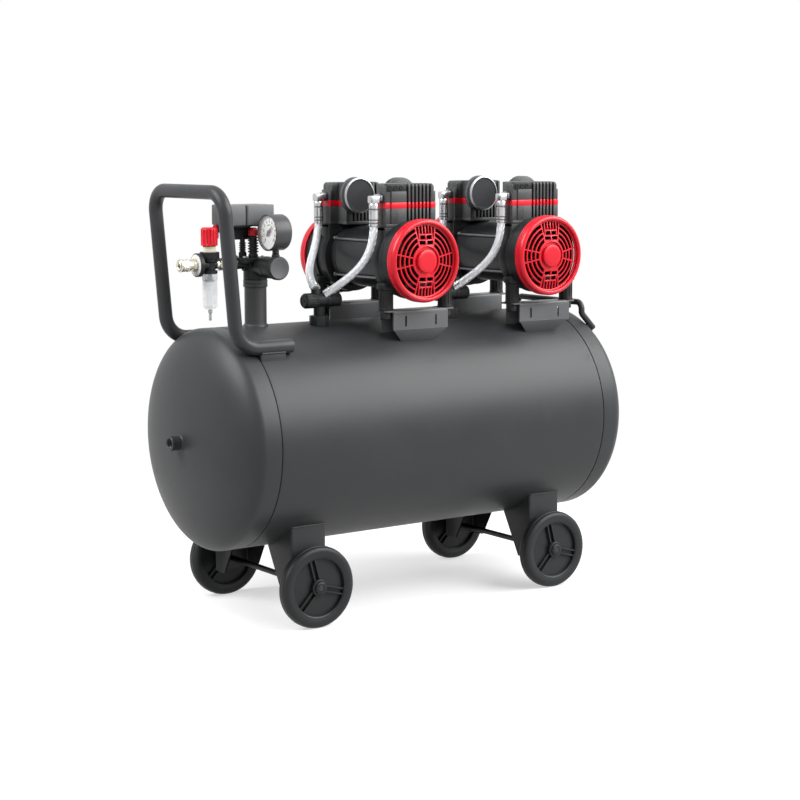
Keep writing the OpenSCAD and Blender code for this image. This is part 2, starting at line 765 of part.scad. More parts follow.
// silencer drum on the inner side of each head
filter_shift = 22;
filter_drop = 24;
filter_l = 18;
module inlet_filter() translate([filter_shift, -motor_y + 26, shaft_z + head_top_z - filter_drop]) {
    bar_y(4, filter_r - 3);
    translate([0, 4, 0]) bar_y(filter_l, filter_r);
    translate([0, 4 + filter_l, 0]) rotate([-90, 0, 0])
        cylinder(h = 3, r1 = filter_r, r2 = filter_r - 3);
}
module inlet_filters() color(black) both_ends() inlet_filter();

// domed field of the guard inside its rim, how far it falls from the hub, and its wall
field_r = guard_r - 10;
dome_drop = 6;
guard_wall = 3;
guard_hub_r = 21;
slot_r = [30.4, 39.4, 48.4, 57.4];
slot_w = 6.2;
rib_w = 2.6;
slat_pitch = 7.1;
slat_gap = 4.5;

// shield-shaped field above and below the hub, its edges moved inwards by t
module shield(t) polygon([[t - 17.3, 27 + t], [17.3 - t, 27 + t], [26.5 - t, guard_r],
    [t - 26.5, guard_r]]);

// the openings in one shield: two pairs beside a middle rib, and slats beyond them
module shield_slots() intersection() {
    shield(rib_w);
    circle(field_r - 1.5);
    union() {
        for (s = [-1, 1]) {
            translate([s * 8.6 - 7, 30]) square([14, 6.5]);
            translate([s * 7.2 - 5.8, 39.5]) square([11.6, 7]);
            translate([s * 2.5 * slat_pitch - slat_gap / 2, 39.5]) square([slat_gap, guard_r]);
        }
        for (i = [-1.5:1:1.5])
            translate([i * slat_pitch - slat_gap / 2, 49.5]) square([slat_gap, guard_r]);
    }
}

// ring-shaped air slots of the guard, cut short where the ribs and shields run
module guard_slots() {
    difference() {
        for (r = slot_r) difference() {
            circle(r + slot_w);
            circle(r);
        }
        for (a = [12, 168, 192, 348]) rotate(a) translate([0, -rib_w / 2])
            square([guard_r, rib_w]);
        for (a = [0, 180]) rotate(a) shield(0);
    }
    for (a = [0, 180]) rotate(a) shield_slots();
}

// half section of the guard: hub, groove round it, domed field, raised rim and skirt
module guard_section() polygon([[0, guard_y + 2.5], [guard_hub_r - 1.5, guard_y + 2.5],
    [guard_hub_r, guard_y + 1], [guard_hub_r, guard_y - 2.5], [27, guard_y - 2.5],
    [27, guard_y - 1.4], [field_r, guard_y - 1.4 - dome_drop], [field_r + 1.2, guard_y - 1.5],
    [field_r + 4, guard_y], [guard_r - 3, guard_y - 1.5], [guard_r, guard_y - 6],
    [guard_r, shroud_y], [guard_r - 4, shroud_y], [guard_r - 4, shroud_y + 8],
    [field_r - 2, guard_y - 1.4 - dome_drop - guard_wall], [27, guard_y - 1.9 - guard_wall],
    [0, guard_y - 1.9 - guard_wall]]);

module fan_guard() at_shaft() difference() {
    rotate([90, 0, 0]) rotate_extrude() guard_section();
    slab_y(-guard_y - 1, -shroud_y - 7) guard_slots();
}

module fan_guards() color(red) both_ends() fan_guard();

module rotor_shaft() color(steel) at_shaft() {
    translate([0, -guard_y + 8, 0]) bar_y(2 * guard_y - 16, shaft_r);
    translate([0, -motor_y + 24, 0]) bar_y(motor_l - 48, 30);
}

fan_r = 60;

module fan() at_shaft() difference() {
    union() {
        translate([0, -shroud_y + 2, 0]) bar_y(20, 17);
        for (a = [0:40:320]) rotate([0, a, 0]) translate([15, -shroud_y + 12, 0])
            rotate([35, 0, 0]) translate([0, -11, -0.9]) cube([fan_r - 15, 22, 1.8]);
    }
    translate([0, -shroud_y, 0]) bar_y(30, shaft_r);
}

module fans() color([0.16, 0.16, 0.17]) both_ends() fan();

// ---- hoses ------------------------------------------------------------------------

// point on a cubic curve with four control points
function curve(p, t) = pow(1 - t, 3) * p[0] + 3 * t * pow(1 - t, 2) * p[1]
    + 3 * t * t * (1 - t) * p[2] + pow(t, 3) * p[3];
function slope(p, t) = 3 * pow(1 - t, 2) * (p[1] - p[0]) + 6 * t * (1 - t) * (p[2] - p[1])
    + 3 * t * t * (p[3] - p[2]);
function unit(v) = v / norm(v);

hose_steps = 12;
hose_sides = 12;

// tube of radius r swept along the curve p as one closed solid; its first ring lies flat
module sweep(p, r) {
    rings = [for (i = [0:hose_steps]) let (t = i / hose_steps,
        d = i == 0 ? [0, 0, -1] : unit(slope(p, t)),
        u = unit(cross(d, [0.3, 1, 0])), v = cross(d, u))
        for (k = [0:hose_sides - 1]) let (a = k * 360 / hose_sides)
            curve(p, t) + r * (cos(a) * u + sin(a) * v)];
    walls = [for (i = [0:hose_steps - 1], k = [0:hose_sides - 1]) let (
        a = i * hose_sides + k, b = i * hose_sides + (k + 1) % hose_sides)
        [a, b, b + hose_sides, a + hose_sides]];
    last = hose_steps * hose_sides;
    polyhedron(concat(rings), concat([[for (k = [hose_sides - 1:-1:0]) k],
        [for (k = [0:hose_sides - 1]) last + k]], walls), convexity = 6);
}

// the two hose routes, seen from the motor shaft's middle
port_front = [valve_at[0] + 11.5, valve_at[1] - 3, valve_z + 9.5];
port_rear = [valve_at[0] - 7, valve_at[1], valve_z + 21];
route_front = [[elbow_at[0], -elbow_at[1], hose_top],
    [elbow_at[0] - 1.7, 1.4 - elbow_at[1], hose_top - 68],
    [elbow_at[0] - 28, valve_at[1] - 34.7, valve_z + 46.7], port_front];
route_rear = [[elbow_at[0], elbow_at[1], hose_top],
    [elbow_at[0] - 8, elbow_at[1] + 1.5, hose_top - 75.5],
    [valve_at[0] - 2.2, valve_at[1] + 53, valve_z + 56], port_rear];

module hoses() color(steel) {
    sweep(route_front, hose_d / 2);
    sweep(route_rear, hose_d / 2);
}

module elbow() translate([elbow_at[0], -elbow_at[1], elbow_z]) {
    bar_x(17, 5.5);
    translate([4, 0, 0]) rotate([0, 90, 0]) hex_bar(16, 8);
    sphere(8);
    translate([0, 0, -14]) cylinder(h = 14, r = 8);
    translate([0, 0, -51]) cylinder(h = 38, r = hose_d / 2 + 1.4);
}

module hose_fittings() color(steel) front_and_rear() elbow();

// space of the last stretch of a hose, seen from the check valve
module hose_socket(route) {
    d = unit(route[2] - route[3]);
    translate(route[3] - [valve_at[0], valve_at[1], 0])
        rotate([0, acos(d[2]), atan2(d[1], d[0])]) cylinder(h = 30, r = hose_d / 2 + 0.2);
}

module check_valve() color(black) translate([valve_at[0], valve_at[1], 0]) difference() {
    union() {
        translate([0, 0, tank_top - 10]) cylinder(h = 24, r = 18.5, $fn = 8);
        translate([0, 0, tank_top]) cylinder(h = valve_z - tank_top, r = 10);
        translate([-34, 0, valve_z]) bar_x(77, 12);
        translate([-34, 0, valve_z]) bar_x(28, 14);
        translate([12, 0, valve_z]) bar_x(31, 13);
        translate([-7, 0, valve_z]) cylinder(h = 21, r = 8.5);
    }
    translate([-valve_at[0], -valve_at[1], 0]) tank_space();
    for (route = [route_front, route_rear]) hose_socket(route);
}

// ---- every node in its place ---------------------------------------------------------

module at_pump(i) translate([unit_xs[i - 1], 0, 0]) children();

tank_shell();
tank_heads();
end_ports();
drain_valve();
drain_tap();
legs();
axles();
wheel_clips();
wheel_front_left();
wheel_front_right();
wheel_rear_left();
wheel_rear_right();
handle();
grab_bar();
standpipe();
manifold();
switch_base();
switch_cover();
switch_lever();
gauge_case();
gauge_glass();
gauge_needle();
regulator_knob();
safety_valve();
safety_cap();
filter_body();
filter_bonnet();
filter_knob();
filter_bowl();
filter_nipple();
coupler_body();
coupler_sleeve();
for (i = [1, 2]) at_pump(i) {
    brackets();
    rubber_mounts();
    motor_case();
    crankcases();
    cylinders();
    head_bands();
    cylinder_heads();
    inlet_filters();
    fan_guards();
    rotor_shaft();
    fans();
    hose_fittings();
    hoses();
    check_valve();
}
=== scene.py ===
import json
from math import (acos, asin, atan, atan2, copysign, cos, degrees, dist, hypot, pi, radians, sin,
    sqrt, tan, tau)

import bmesh
import bpy
from mathutils import Matrix, Vector


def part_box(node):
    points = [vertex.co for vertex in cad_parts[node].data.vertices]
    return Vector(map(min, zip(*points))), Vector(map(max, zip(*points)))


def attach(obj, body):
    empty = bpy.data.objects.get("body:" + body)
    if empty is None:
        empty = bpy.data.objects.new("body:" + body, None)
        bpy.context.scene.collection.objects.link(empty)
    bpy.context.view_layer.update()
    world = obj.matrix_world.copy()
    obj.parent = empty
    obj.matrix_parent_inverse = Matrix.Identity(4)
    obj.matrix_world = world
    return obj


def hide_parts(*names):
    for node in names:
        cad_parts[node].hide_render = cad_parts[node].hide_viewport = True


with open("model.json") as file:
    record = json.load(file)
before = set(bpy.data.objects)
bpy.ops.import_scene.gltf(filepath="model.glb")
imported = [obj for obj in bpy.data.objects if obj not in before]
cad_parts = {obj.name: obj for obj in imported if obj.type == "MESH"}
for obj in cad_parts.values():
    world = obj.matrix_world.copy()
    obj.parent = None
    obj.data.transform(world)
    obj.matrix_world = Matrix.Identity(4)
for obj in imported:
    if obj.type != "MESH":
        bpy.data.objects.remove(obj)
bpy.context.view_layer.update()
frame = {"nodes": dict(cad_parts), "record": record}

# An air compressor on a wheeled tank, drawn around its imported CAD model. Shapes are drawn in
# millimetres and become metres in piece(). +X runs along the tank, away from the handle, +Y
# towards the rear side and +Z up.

scene = bpy.context.scene
MM = 0.001
ROOT = "compressor"
NODE_SLOTS = {row["node"]: row["material_slot"] for row in frame["record"]["subparts"]}

# ---- camera ----------------------------------------------------------------------

eye = Vector((-2.0687, -2.9021, 0.8516))
turn, dip = radians(35.8), radians(7.7)
sensor_width, lens = 36, 84.87
clip_near, clip_far = 0.1, 60
gaze = Vector((sin(turn) * cos(dip), cos(turn) * cos(dip), -sin(dip)))
camera = bpy.data.objects.new("camera", bpy.data.cameras.new("camera"))
scene.collection.objects.link(camera)
camera.location = eye
camera.rotation_euler = gaze.to_track_quat("-Z", "Y").to_euler()
camera.data.sensor_width, camera.data.lens = sensor_width, lens
camera.data.clip_start, camera.data.clip_end = clip_near, clip_far
scene.camera = camera
scene.view_settings.view_transform = "Standard"


# ---- materials -------------------------------------------------------------------

class Value:
    """A socket that takes part in Python arithmetic."""

    def __init__(self, graph, socket):
        self.graph, self.socket = graph, socket

    def math(self, operation, other):
        return self.graph.node("ShaderNodeMath", {"operation": operation}, [self, other])

    def __add__(self, other):
        return self.math("ADD", other)

    def __mul__(self, other):
        return self.math("MULTIPLY", other)

    def limited(self):
        return self.graph.node("ShaderNodeClamp", {}, [self])


class Graph:
    """A node tree, and short ways to add nodes and link them."""

    def __init__(self, tree):
        self.nodes, self.links = tree.nodes, tree.links

    def put(self, socket, value):
        value = getattr(value, "socket", value)
        if isinstance(value, bpy.types.NodeSocket):
            self.links.new(value, socket)
        else:
            socket.default_value = value

    def raw(self, kind, settings=(), values=()):
        node = self.nodes.new(kind)
        for key, value in dict(settings).items():
            setattr(node, key, value)
        for key, value in values.items() if isinstance(values, dict) else enumerate(values):
            self.put(node.inputs[key], value)
        return node

    def node(self, kind, settings=(), values=(), name=0):
        return Value(self, self.raw(kind, settings, values).outputs[name])


class Look(Graph):
    """One material: its shader and the nodes that feed it."""

    def __init__(self, name):
        self.material = bpy.data.materials.new(name)
        self.material.use_nodes = True
        super().__init__(self.material.node_tree)
        self.shader = self.nodes["Principled BSDF"]
        self.spot = self.node("ShaderNodeTexCoord", name="Object")

    def noise(self, scale, detail=2.0, spot=None):
        return self.node("ShaderNodeTexNoise", {}, {"Vector": spot or self.spot, "Scale": scale,
            "Detail": detail})

    def ramp(self, value, low, high):
        return self.node("ShaderNodeMapRange", {"interpolation_type": "SMOOTHSTEP"},
            {"Value": value, "From Min": low, "From Max": high})

    def mix(self, amount, first, second):
        return self.node("ShaderNodeMix", {"data_type": "RGBA"}, {0: amount, 6: first, 7: second},
            2)

    def bump(self, height, depth):
        return self.node("ShaderNodeBump", {}, {"Height": height, "Distance": depth,
            "Strength": 1.0})

    def set(self, **values):
        for key, value in values.items():
            self.put(self.shader.inputs[key.replace("_", " ")], value)


# Noise scales in marks per metre: clouds of tone, rubbed spots, settled dust, brush marks,
# tarnish, and haze on clear plastic.
CLOUDS, RUBS, DUST_SPOTS, MARKS, TARNISH_SPOTS, HAZE = 9.0, 38.0, 60.0, 900.0, 45.0, 70.0
DUST_TONE = (0.42, 0.41, 0.39, 1)


def paint(name, colour, rough, grain=650.0, grain_depth=0.00006, wear=0.10, coat=0.0, shine=0.3,
        worn=None, dust=0.05):
    """A coated or moulded surface: mottled colour, fine grain, faint dust and scuffs."""
    look = Look(name)
    cloud = look.noise(CLOUDS, 4.0)
    fine = look.noise(grain, 2.0)
    rubs = look.ramp(look.noise(RUBS, 6.0), 0.60, 0.78)
    base = (*colour, 1)
    light = (*[min(1, c * (1 + 2.2 * wear)) for c in colour], 1)
    dark = (*[c * (1 - wear) for c in colour], 1)
    worn = (*(worn or [min(1, c * 1.5 + 0.008) for c in colour]), 1)
    tone = look.mix(look.ramp(cloud, 0.3, 0.7), dark, light)
    tone = look.mix(look.ramp(fine, 0.35, 0.65) * 0.35, tone, base)
    tone = look.mix(rubs * (wear * 1.6), tone, worn)
    normal = look.node("ShaderNodeNewGeometry", name="Normal")
    up = look.node("ShaderNodeSeparateXYZ", {}, [normal], 2)
    settled = look.ramp(up, 0.75, 1.0) * look.ramp(look.noise(DUST_SPOTS, 5.0), 0.35, 0.75) * dust
    tone = look.mix(settled, tone, DUST_TONE)
    look.set(Base_Color=tone, Coat_Weight=coat, Coat_Roughness=0.12, Specular_IOR_Level=shine)
    look.set(Roughness=(cloud * 0.14 + fine * 0.06 + (rough - 0.10) + rubs * 0.10).limited())
    look.set(Normal=look.bump(fine, grain_depth))
    return look.material


def metal(name, colour, rough, brushed=(1.0, 1.0, 1.0), tarnish=0.18):
    """Plated or brushed metal with fine marks and a little tarnish."""
    look = Look(name)
    stretch = look.node("ShaderNodeMapping", {}, {"Vector": look.spot, "Scale": brushed})
    lines = look.noise(MARKS, 3.0, stretch)
    cloud = look.ramp(look.noise(TARNISH_SPOTS, 5.0), 0.42, 0.72)
    dull = (*[c * 0.62 for c in colour], 1)
    tone = look.mix(cloud * tarnish, (*colour, 1), dull)
    look.set(Base_Color=tone, Metallic=1.0)
    look.set(Roughness=(lines * 0.16 + (rough - 0.06) + cloud * 0.12).limited())
    look.set(Normal=look.bump(lines, 0.00003))
    return look.material


coat = paint("tank coat", (0.031, 0.0325, 0.034), 0.42, 520.0, 0.00007, 0.05, shine=0.25, dust=0.01)
frame_coat = paint("frame coat", (0.038, 0.039, 0.041), 0.36, 620.0, 0.00006, 0.08, shine=0.20,
    dust=0.01)
sheet_coat = paint("bracket coat", (0.098, 0.100, 0.103), 0.42, 620.0, 0.00006, 0.10, dust=0.02)
black = paint("black casting", (0.014, 0.015, 0.016), 0.40, 480.0, 0.00012, 0.16, shine=0.22,
    dust=0.01)
casting = paint("grey casting", (0.060, 0.062, 0.063), 0.38, 480.0, 0.00010, 0.10, shine=0.26,
    dust=0.01)
black_gloss = paint("black motor paint", (0.010, 0.011, 0.012), 0.30, 700.0, 0.00004, 0.14,
    shine=0.25, dust=0.01)
panel = paint("grey moulding", (0.125, 0.128, 0.131), 0.42, 800.0, 0.00005, 0.07, dust=0.02)
dull_black = paint("moulded black plastic", (0.015, 0.016, 0.017), 0.46, 900.0, 0.00006, 0.12,
    shine=0.22, dust=0.02)
wheel_black = paint("wheel plastic", (0.018, 0.019, 0.020), 0.42, 560.0, 0.00009, 0.14, shine=0.22,
    dust=0.03)
rubber = paint("rubber", (0.014, 0.014, 0.015), 0.55, 500.0, 0.00010, 0.18, shine=0.22, dust=0.03)
red = paint("red plastic", (0.64, 0.008, 0.022), 0.32, 900.0, 0.00003, 0.06, coat=0.15,
    worn=(0.84, 0.14, 0.15), dust=0.01)
dark_red = paint("lever red", (0.46, 0.008, 0.016), 0.34, 900.0, 0.00003, 0.08, dust=0.02)
cream = paint("cream plastic", (0.72, 0.66, 0.50), 0.38, 800.0, 0.00003, 0.05, dust=0.02)
white = paint("dial white", (0.93, 0.93, 0.92), 0.42, 900.0, 0.00001, 0.02, dust=0.0)
inks = {"ink": (0.012, 0.012, 0.013), "green": (0.03, 0.42, 0.17), "red": (0.80, 0.10, 0.12)}
ink, green, pink = [paint("dial " + name, colour, 0.5, 900.0, 0.00001, 0.05, dust=0.0)
    for name, colour in inks.items()]
lid_grey = paint("filter lid", (0.036, 0.037, 0.039), 0.40, 800.0, 0.00004, 0.08, dust=0.01)
pipe_coat = paint("pipe coat", (0.050, 0.051, 0.053), 0.38, 620.0, 0.00006, 0.08, shine=0.26,
    dust=0.01)
knob_grey = paint("knob face", (0.090, 0.092, 0.095), 0.50, 800.0, 0.00004, 0.05, dust=0.01)
ring_white = paint("pale ring", (0.66, 0.66, 0.64), 0.42, 800.0, 0.00003, 0.04, dust=0.01)
pale_grey = paint("pin grey", (0.46, 0.47, 0.48), 0.40, 800.0, 0.00003, 0.05, dust=0.01)
lid_edge = metal("lid edge", (0.40, 0.41, 0.42), 0.34)
dark = paint("shadow gap", (0.008, 0.008, 0.009), 0.7, 500.0, 0.00005, 0.2, dust=0.0)
zinc = metal("zinc plate", (0.58, 0.59, 0.61), 0.30)
dark_zinc = metal("black zinc plate", (0.16, 0.16, 0.17), 0.36)
axle_black = metal("blackened steel", (0.050, 0.050, 0.053), 0.42)
chrome = metal("bright plate", (0.54, 0.55, 0.56), 0.24, tarnish=0.12)
wire = metal("stainless braid", (0.60, 0.61, 0.63), 0.42, tarnish=0.10)
nickel = metal("nickel brass", (0.64, 0.62, 0.52), 0.28, tarnish=0.14)


def clear(name, colour, alpha):
    """Clear moulded plastic or glass."""
    look = Look(name)
    film = look.ramp(look.noise(HAZE, 4.0), 0.45, 0.75)
    look.set(Base_Color=look.mix(film, (*colour, 1), (0.93, 0.94, 0.95, 1)), IOR=1.45)
    look.set(Roughness=film * 0.08 + 0.05, Alpha=film * 0.05 + alpha)
    return look.material


bowl_clear = clear("clear bowl", (0.88, 0.90, 0.92), 0.30)
lens_clear = clear("gauge lens", (0.95, 0.96, 0.97), 0.10)


# ---- geometry node trees ---------------------------------------------------------

class Tree(Graph):
    """A Geometry Nodes tree that repeats or sweeps the geometry it is given."""

    def __init__(self, name, **inputs):
        self.group = bpy.data.node_groups.new(name, "GeometryNodeTree")
        super().__init__(self.group)
        face = self.group.interface
        face.new_socket("Geometry", in_out="INPUT", socket_type="NodeSocketGeometry")
        for label, (kind, value) in inputs.items():
            face.new_socket(label, in_out="INPUT", socket_type=kind).default_value = value
        face.new_socket("Geometry", in_out="OUTPUT", socket_type="NodeSocketGeometry")
        self.given = self.nodes.new("NodeGroupInput").outputs

    def close(self, geometry):
        real = self.node("GeometryNodeRealizeInstances", {}, {"Geometry": geometry})
        self.raw("NodeGroupOutput", {}, {"Geometry": real})
        return self


def ring_tree():
    """Copies of the given piece, evenly turned about Z."""
    tree = Tree("ring of copies", Count=("NodeSocketInt", 6), Turn=("NodeSocketFloat", tau))
    given = tree.given
    points = tree.node("GeometryNodeMeshLine", {}, {"Count": given["Count"], "Offset": (0, 0, 0)})
    index = tree.node("GeometryNodeInputIndex")
    share = tree.node("ShaderNodeMath", {"operation": "DIVIDE"}, {0: index, 1: given["Count"]})
    angle = tree.node("ShaderNodeMath", {"operation": "MULTIPLY"}, {0: share, 1: given["Turn"]})
    turned_by = tree.node("ShaderNodeCombineXYZ", {}, {"Z": angle})
    copies = tree.node("GeometryNodeInstanceOnPoints", {}, {"Points": points,
        "Instance": given["Geometry"], "Rotation": turned_by})
    return tree.close(copies)


def row_tree():
    """Copies of the given piece in a straight row."""
    tree = Tree("row of copies", Count=("NodeSocketInt", 6), Step=("NodeSocketVector", (1, 0, 0)))
    given = tree.given
    points = tree.node("GeometryNodeMeshLine", {}, {"Count": given["Count"],
        "Offset": given["Step"]})
    copies = tree.node("GeometryNodeInstanceOnPoints", {}, {"Points": points,
        "Instance": given["Geometry"]})
    return tree.close(copies)


def sweep_tree():
    """A round bar or tube that follows the given line of edges."""
    tree = Tree("bar along a path", Radius=("NodeSocketFloat", 1.0), Sides=("NodeSocketInt", 24))
    given = tree.given
    path = tree.node("GeometryNodeMeshToCurve", {}, {"Mesh": given["Geometry"]})
    profile = tree.node("GeometryNodeCurvePrimitiveCircle", {}, {"Resolution": given["Sides"],
        "Radius": given["Radius"]})
    bar = tree.node("GeometryNodeCurveToMesh", {}, {"Curve": path, "Profile Curve": profile,
        "Fill Caps": True})
    return tree.close(bar)


RING, ROW, SWEEP = ring_tree(), row_tree(), sweep_tree()


# ---- mesh tools, all in millimetres ----------------------------------------------

def made(tree, shape, **sizes):
    """Points and faces of a shape after a Geometry Nodes tree has worked on it."""
    points, faces, *edges = shape
    mesh = bpy.data.meshes.new("item")
    mesh.from_pydata(points, edges[0] if edges else [], faces)
    item = bpy.data.objects.new("item", mesh)
    scene.collection.objects.link(item)
    modifier = item.modifiers.new("made", "NODES")
    modifier.node_group = tree.group
    for socket in tree.group.interface.items_tree:
        if socket.in_out == "INPUT" and socket.name in sizes:
            modifier[socket.identifier] = sizes[socket.name]
    return taken(item)


def taken(item):
    """The evaluated mesh of a scratch object as points and faces; the object goes."""
    graph = bpy.context.evaluated_depsgraph_get()
    mesh = bpy.data.meshes.new_from_object(item.evaluated_get(graph))
    points = [tuple(v.co) for v in mesh.vertices]
    faces = [tuple(p.vertices) for p in mesh.polygons]
    data = item.data
    bpy.data.objects.remove(item)
    if isinstance(data, bpy.types.Mesh):
        bpy.data.meshes.remove(data)
    else:
        bpy.data.curves.remove(data)
    bpy.data.meshes.remove(mesh)
    return points, faces


def join(*shapes):
    """All the shapes as one."""
    points, faces = [], []
    for p, f in shapes:
        base = len(points)
        points += list(p)
        faces += [[base + i for i in face] for face in f]
    return points, faces


def moved(shape, by=(0, 0, 0), matrix=None):
    """The shape turned by the matrix, then shifted."""
    matrix = Matrix.Translation(by) @ (matrix or Matrix())
    return [tuple(matrix @ Vector(p)) for p in shape[0]], shape[1]


def spin(axis, angle):
    """A turn about an axis, in degrees."""
    return Matrix.Rotation(radians(angle), 4, axis)


FACING = {"z": ("Z", 0), "x": ("Y", 90), "-x": ("Y", -90), "y": ("X", -90), "-y": ("X", 90)}


def facing(shape, to, at=(0, 0, 0)):
    """A shape drawn along +Z, turned to run along another axis, then placed."""
    return moved(shape, at, spin(*FACING[to]))


def other_end(shape):
    """The shape half a turn further about the vertical through a pump."""
    return moved(shape, matrix=spin("Z", 180))


def rear(shape):
    """The shape mirrored to the rear side."""
    return [(x, -y, z) for x, y, z in shape[0]], [tuple(reversed(f)) for f in shape[1]]


def mirrored(shape):
    """The shape on both sides, front and rear."""
    return join(shape, rear(shape))


def eased(corners, radius, closed=True, steps=3):
    """The outline with each corner turned into a small curve."""
    count, line = len(corners), []
    for i, corner in enumerate(corners):
        size = radius[i] if isinstance(radius, (list, tuple)) else radius
        if not closed and i in (0, count - 1) or size <= 0:
            line.append(tuple(corner))
            continue
        here = Vector(corner)
        back, on = Vector(corners[i - 1]) - here, Vector(corners[(i + 1) % count]) - here
        reach = min(size, back.length * 0.49, on.length * 0.49)
        start, end = here + back.normalized() * reach, here + on.normalized() * reach
        for k in range(steps + 1):
            t = k / steps
            line.append(tuple(start * (1 - t) ** 2 + here * 2 * t * (1 - t) + end * t * t))
    return line


def rectangle(low, high, radius=4.0, steps=4):
    """A rectangle between two corners, its own corners rounded."""
    (x0, y0), (x1, y1) = low, high
    return eased([(x0, y0), (x1, y0), (x1, y1), (x0, y1)], radius, steps=steps)


def polygon(radius, count):
    """The corners of a regular polygon, or points round a circle."""
    return [(radius * cos(tau * k / count), radius * sin(tau * k / count)) for k in range(count)]


def turned(profile, steps=64, ring=False):
    """A profile of (radius, height) turned about Z. A ring's profile closes on itself."""
    points, faces, rings = [], [], []
    for radius, height in profile:
        if radius < 1e-6:
            rings.append([len(points)])
            points.append((0, 0, height))
            continue
        rings.append(list(range(len(points), len(points) + steps)))
        points += [(x, y, height) for x, y in polygon(radius, steps)]
    pairs = list(zip(rings, rings[1:])) + ([(rings[-1], rings[0])] if ring else [])
    for a, b in pairs:
        for i in range(steps):
            j = (i + 1) % steps
            if len(a) == 1 and len(b) > 1:
                faces.append((a[0], b[i], b[j]))
            elif len(b) == 1 and len(a) > 1:
                faces.append((a[i], b[0], a[j]))
            elif len(a) > 1:
                faces.append((a[i], b[i], b[j], a[j]))
    return points, faces


def spun(profile, steps=64):
    """A solid turned about Z, with flat ends that close on the axis."""
    return turned([(0, profile[0][1]), *profile, (0, profile[-1][1])], steps)


def rod(radius, low, high, steps):
    """A plain round bar along Z."""
    return spun([(radius, low), (radius, high)], steps)


def groove(radius, depth, start, end, slope=0.0):
    """Four profile points of a groove round a turned shape."""
    ease = copysign(slope or depth, end - start)
    return [(radius, start), (radius - depth, start + ease), (radius - depth, end - ease),
        (radius, end)]


def bevelled(mesh, width, angle=0.5, segments=2):
    """Eases the edges of a bmesh that are sharper than an angle in radians."""
    edges = [e for e in mesh.edges if len(e.link_faces) == 2 and e.calc_face_angle(0) > angle]
    bmesh.ops.bevel(mesh, geom=edges, offset=width, offset_type="OFFSET", segments=segments,
        profile=0.5, affect="EDGES", clamp_overlap=True)


def read(mesh):
    """A bmesh as points and faces; the bmesh goes."""
    mesh.verts.index_update()
    points = [tuple(v.co) for v in mesh.verts]
    faces = [tuple(v.index for v in f.verts) for f in mesh.faces]
    mesh.free()
    return points, faces


def prism(outline, axis, low, high, bevel=0.5, cuts=()):
    """An outline filled and drawn out along an axis, with its edges eased.

    The outline lies in the other two axes, in their own order. Each cut is a point and the
    direction of the side that goes.
    """
    spots = {
        "x": lambda a, b, t: (t, a, b),
        "y": lambda a, b, t: (a, t, b),
        "z": lambda a, b, t: (a, b, t),
    }[axis]
    mesh = bmesh.new()
    near = [mesh.verts.new(spots(a, b, low)) for a, b in outline]
    far = [mesh.verts.new(spots(a, b, high)) for a, b in outline]
    mesh.faces.new(near)
    mesh.faces.new(list(reversed(far)))
    for i in range(len(outline)):
        j = (i + 1) % len(outline)
        mesh.faces.new((near[j], near[i], far[i], far[j]))
    for point, side in cuts:
        whole = mesh.verts[:] + mesh.edges[:] + mesh.faces[:]
        cut = bmesh.ops.bisect_plane(mesh, geom=whole, plane_co=point, plane_no=side,
            clear_outer=True)["geom_cut"]
        rim = [e for e in cut if isinstance(e, bmesh.types.BMEdge)]
        bmesh.ops.edgenet_fill(mesh, edges=rim)
    bmesh.ops.recalc_face_normals(mesh, faces=mesh.faces[:])
    if bevel:
        bevelled(mesh, bevel)
    return read(mesh)


def block(low, high, bevel=0.5):
    """A box between two corners."""
    return prism(rectangle(low[:2], high[:2], 0), "z", low[2], high[2], bevel)


def arc(radius, start, end, steps=12, centre=(0, 0)):
    """Points on an arc, angles in degrees."""
    angles = [radians(start + (end - start) * k / steps) for k in range(steps + 1)]
    return [(centre[0] + radius * cos(a), centre[1] + radius * sin(a)) for a in angles]


def plate(outer, holes, low, high, bevel=0.3):
    """A flat plate in X and Y with holes, from low to high, its edges eased."""
    curve = bpy.data.curves.new("plate", "CURVE")
    curve.dimensions, curve.fill_mode = "2D", "BOTH"
    curve.extrude = (high - low) / 2 - bevel
    curve.bevel_depth, curve.bevel_resolution, curve.offset = bevel, 0, -bevel
    for line in [outer, *[list(reversed(hole)) for hole in holes]]:
        spline = curve.splines.new("POLY")
        spline.points.add(len(line) - 1)
        for point, (x, y) in zip(spline.points, line):
            point.co = (x, y, 0, 1)
        spline.use_cyclic_u = True
    item = bpy.data.objects.new("plate", curve)
    scene.collection.objects.link(item)
    return moved(taken(item), (0, 0, (low + high) / 2))


def bar(path, radius, sides=24):
    """A round bar along a line of points."""
    edges = [(i, i + 1) for i in range(len(path) - 1)]
    return made(SWEEP, (path, [], edges), Radius=float(radius), Sides=sides)


def hexagon(across, low, high, soft=0.8):
    """A hexagon nut or bar along Z with chamfered ends."""
    return prism(polygon(across / sqrt(3), 6), "z", low, high, soft)


def screw(at, to, radius=3.0, height=2.2):
    """A round socket screw head with its hexagon recess."""
    head = spun([(radius, 0), (radius, height - 0.5), (radius - 0.5, height),
        (radius * 0.55, height), (radius * 0.5, height * 0.3)], 18)
    return facing(head, to, at)


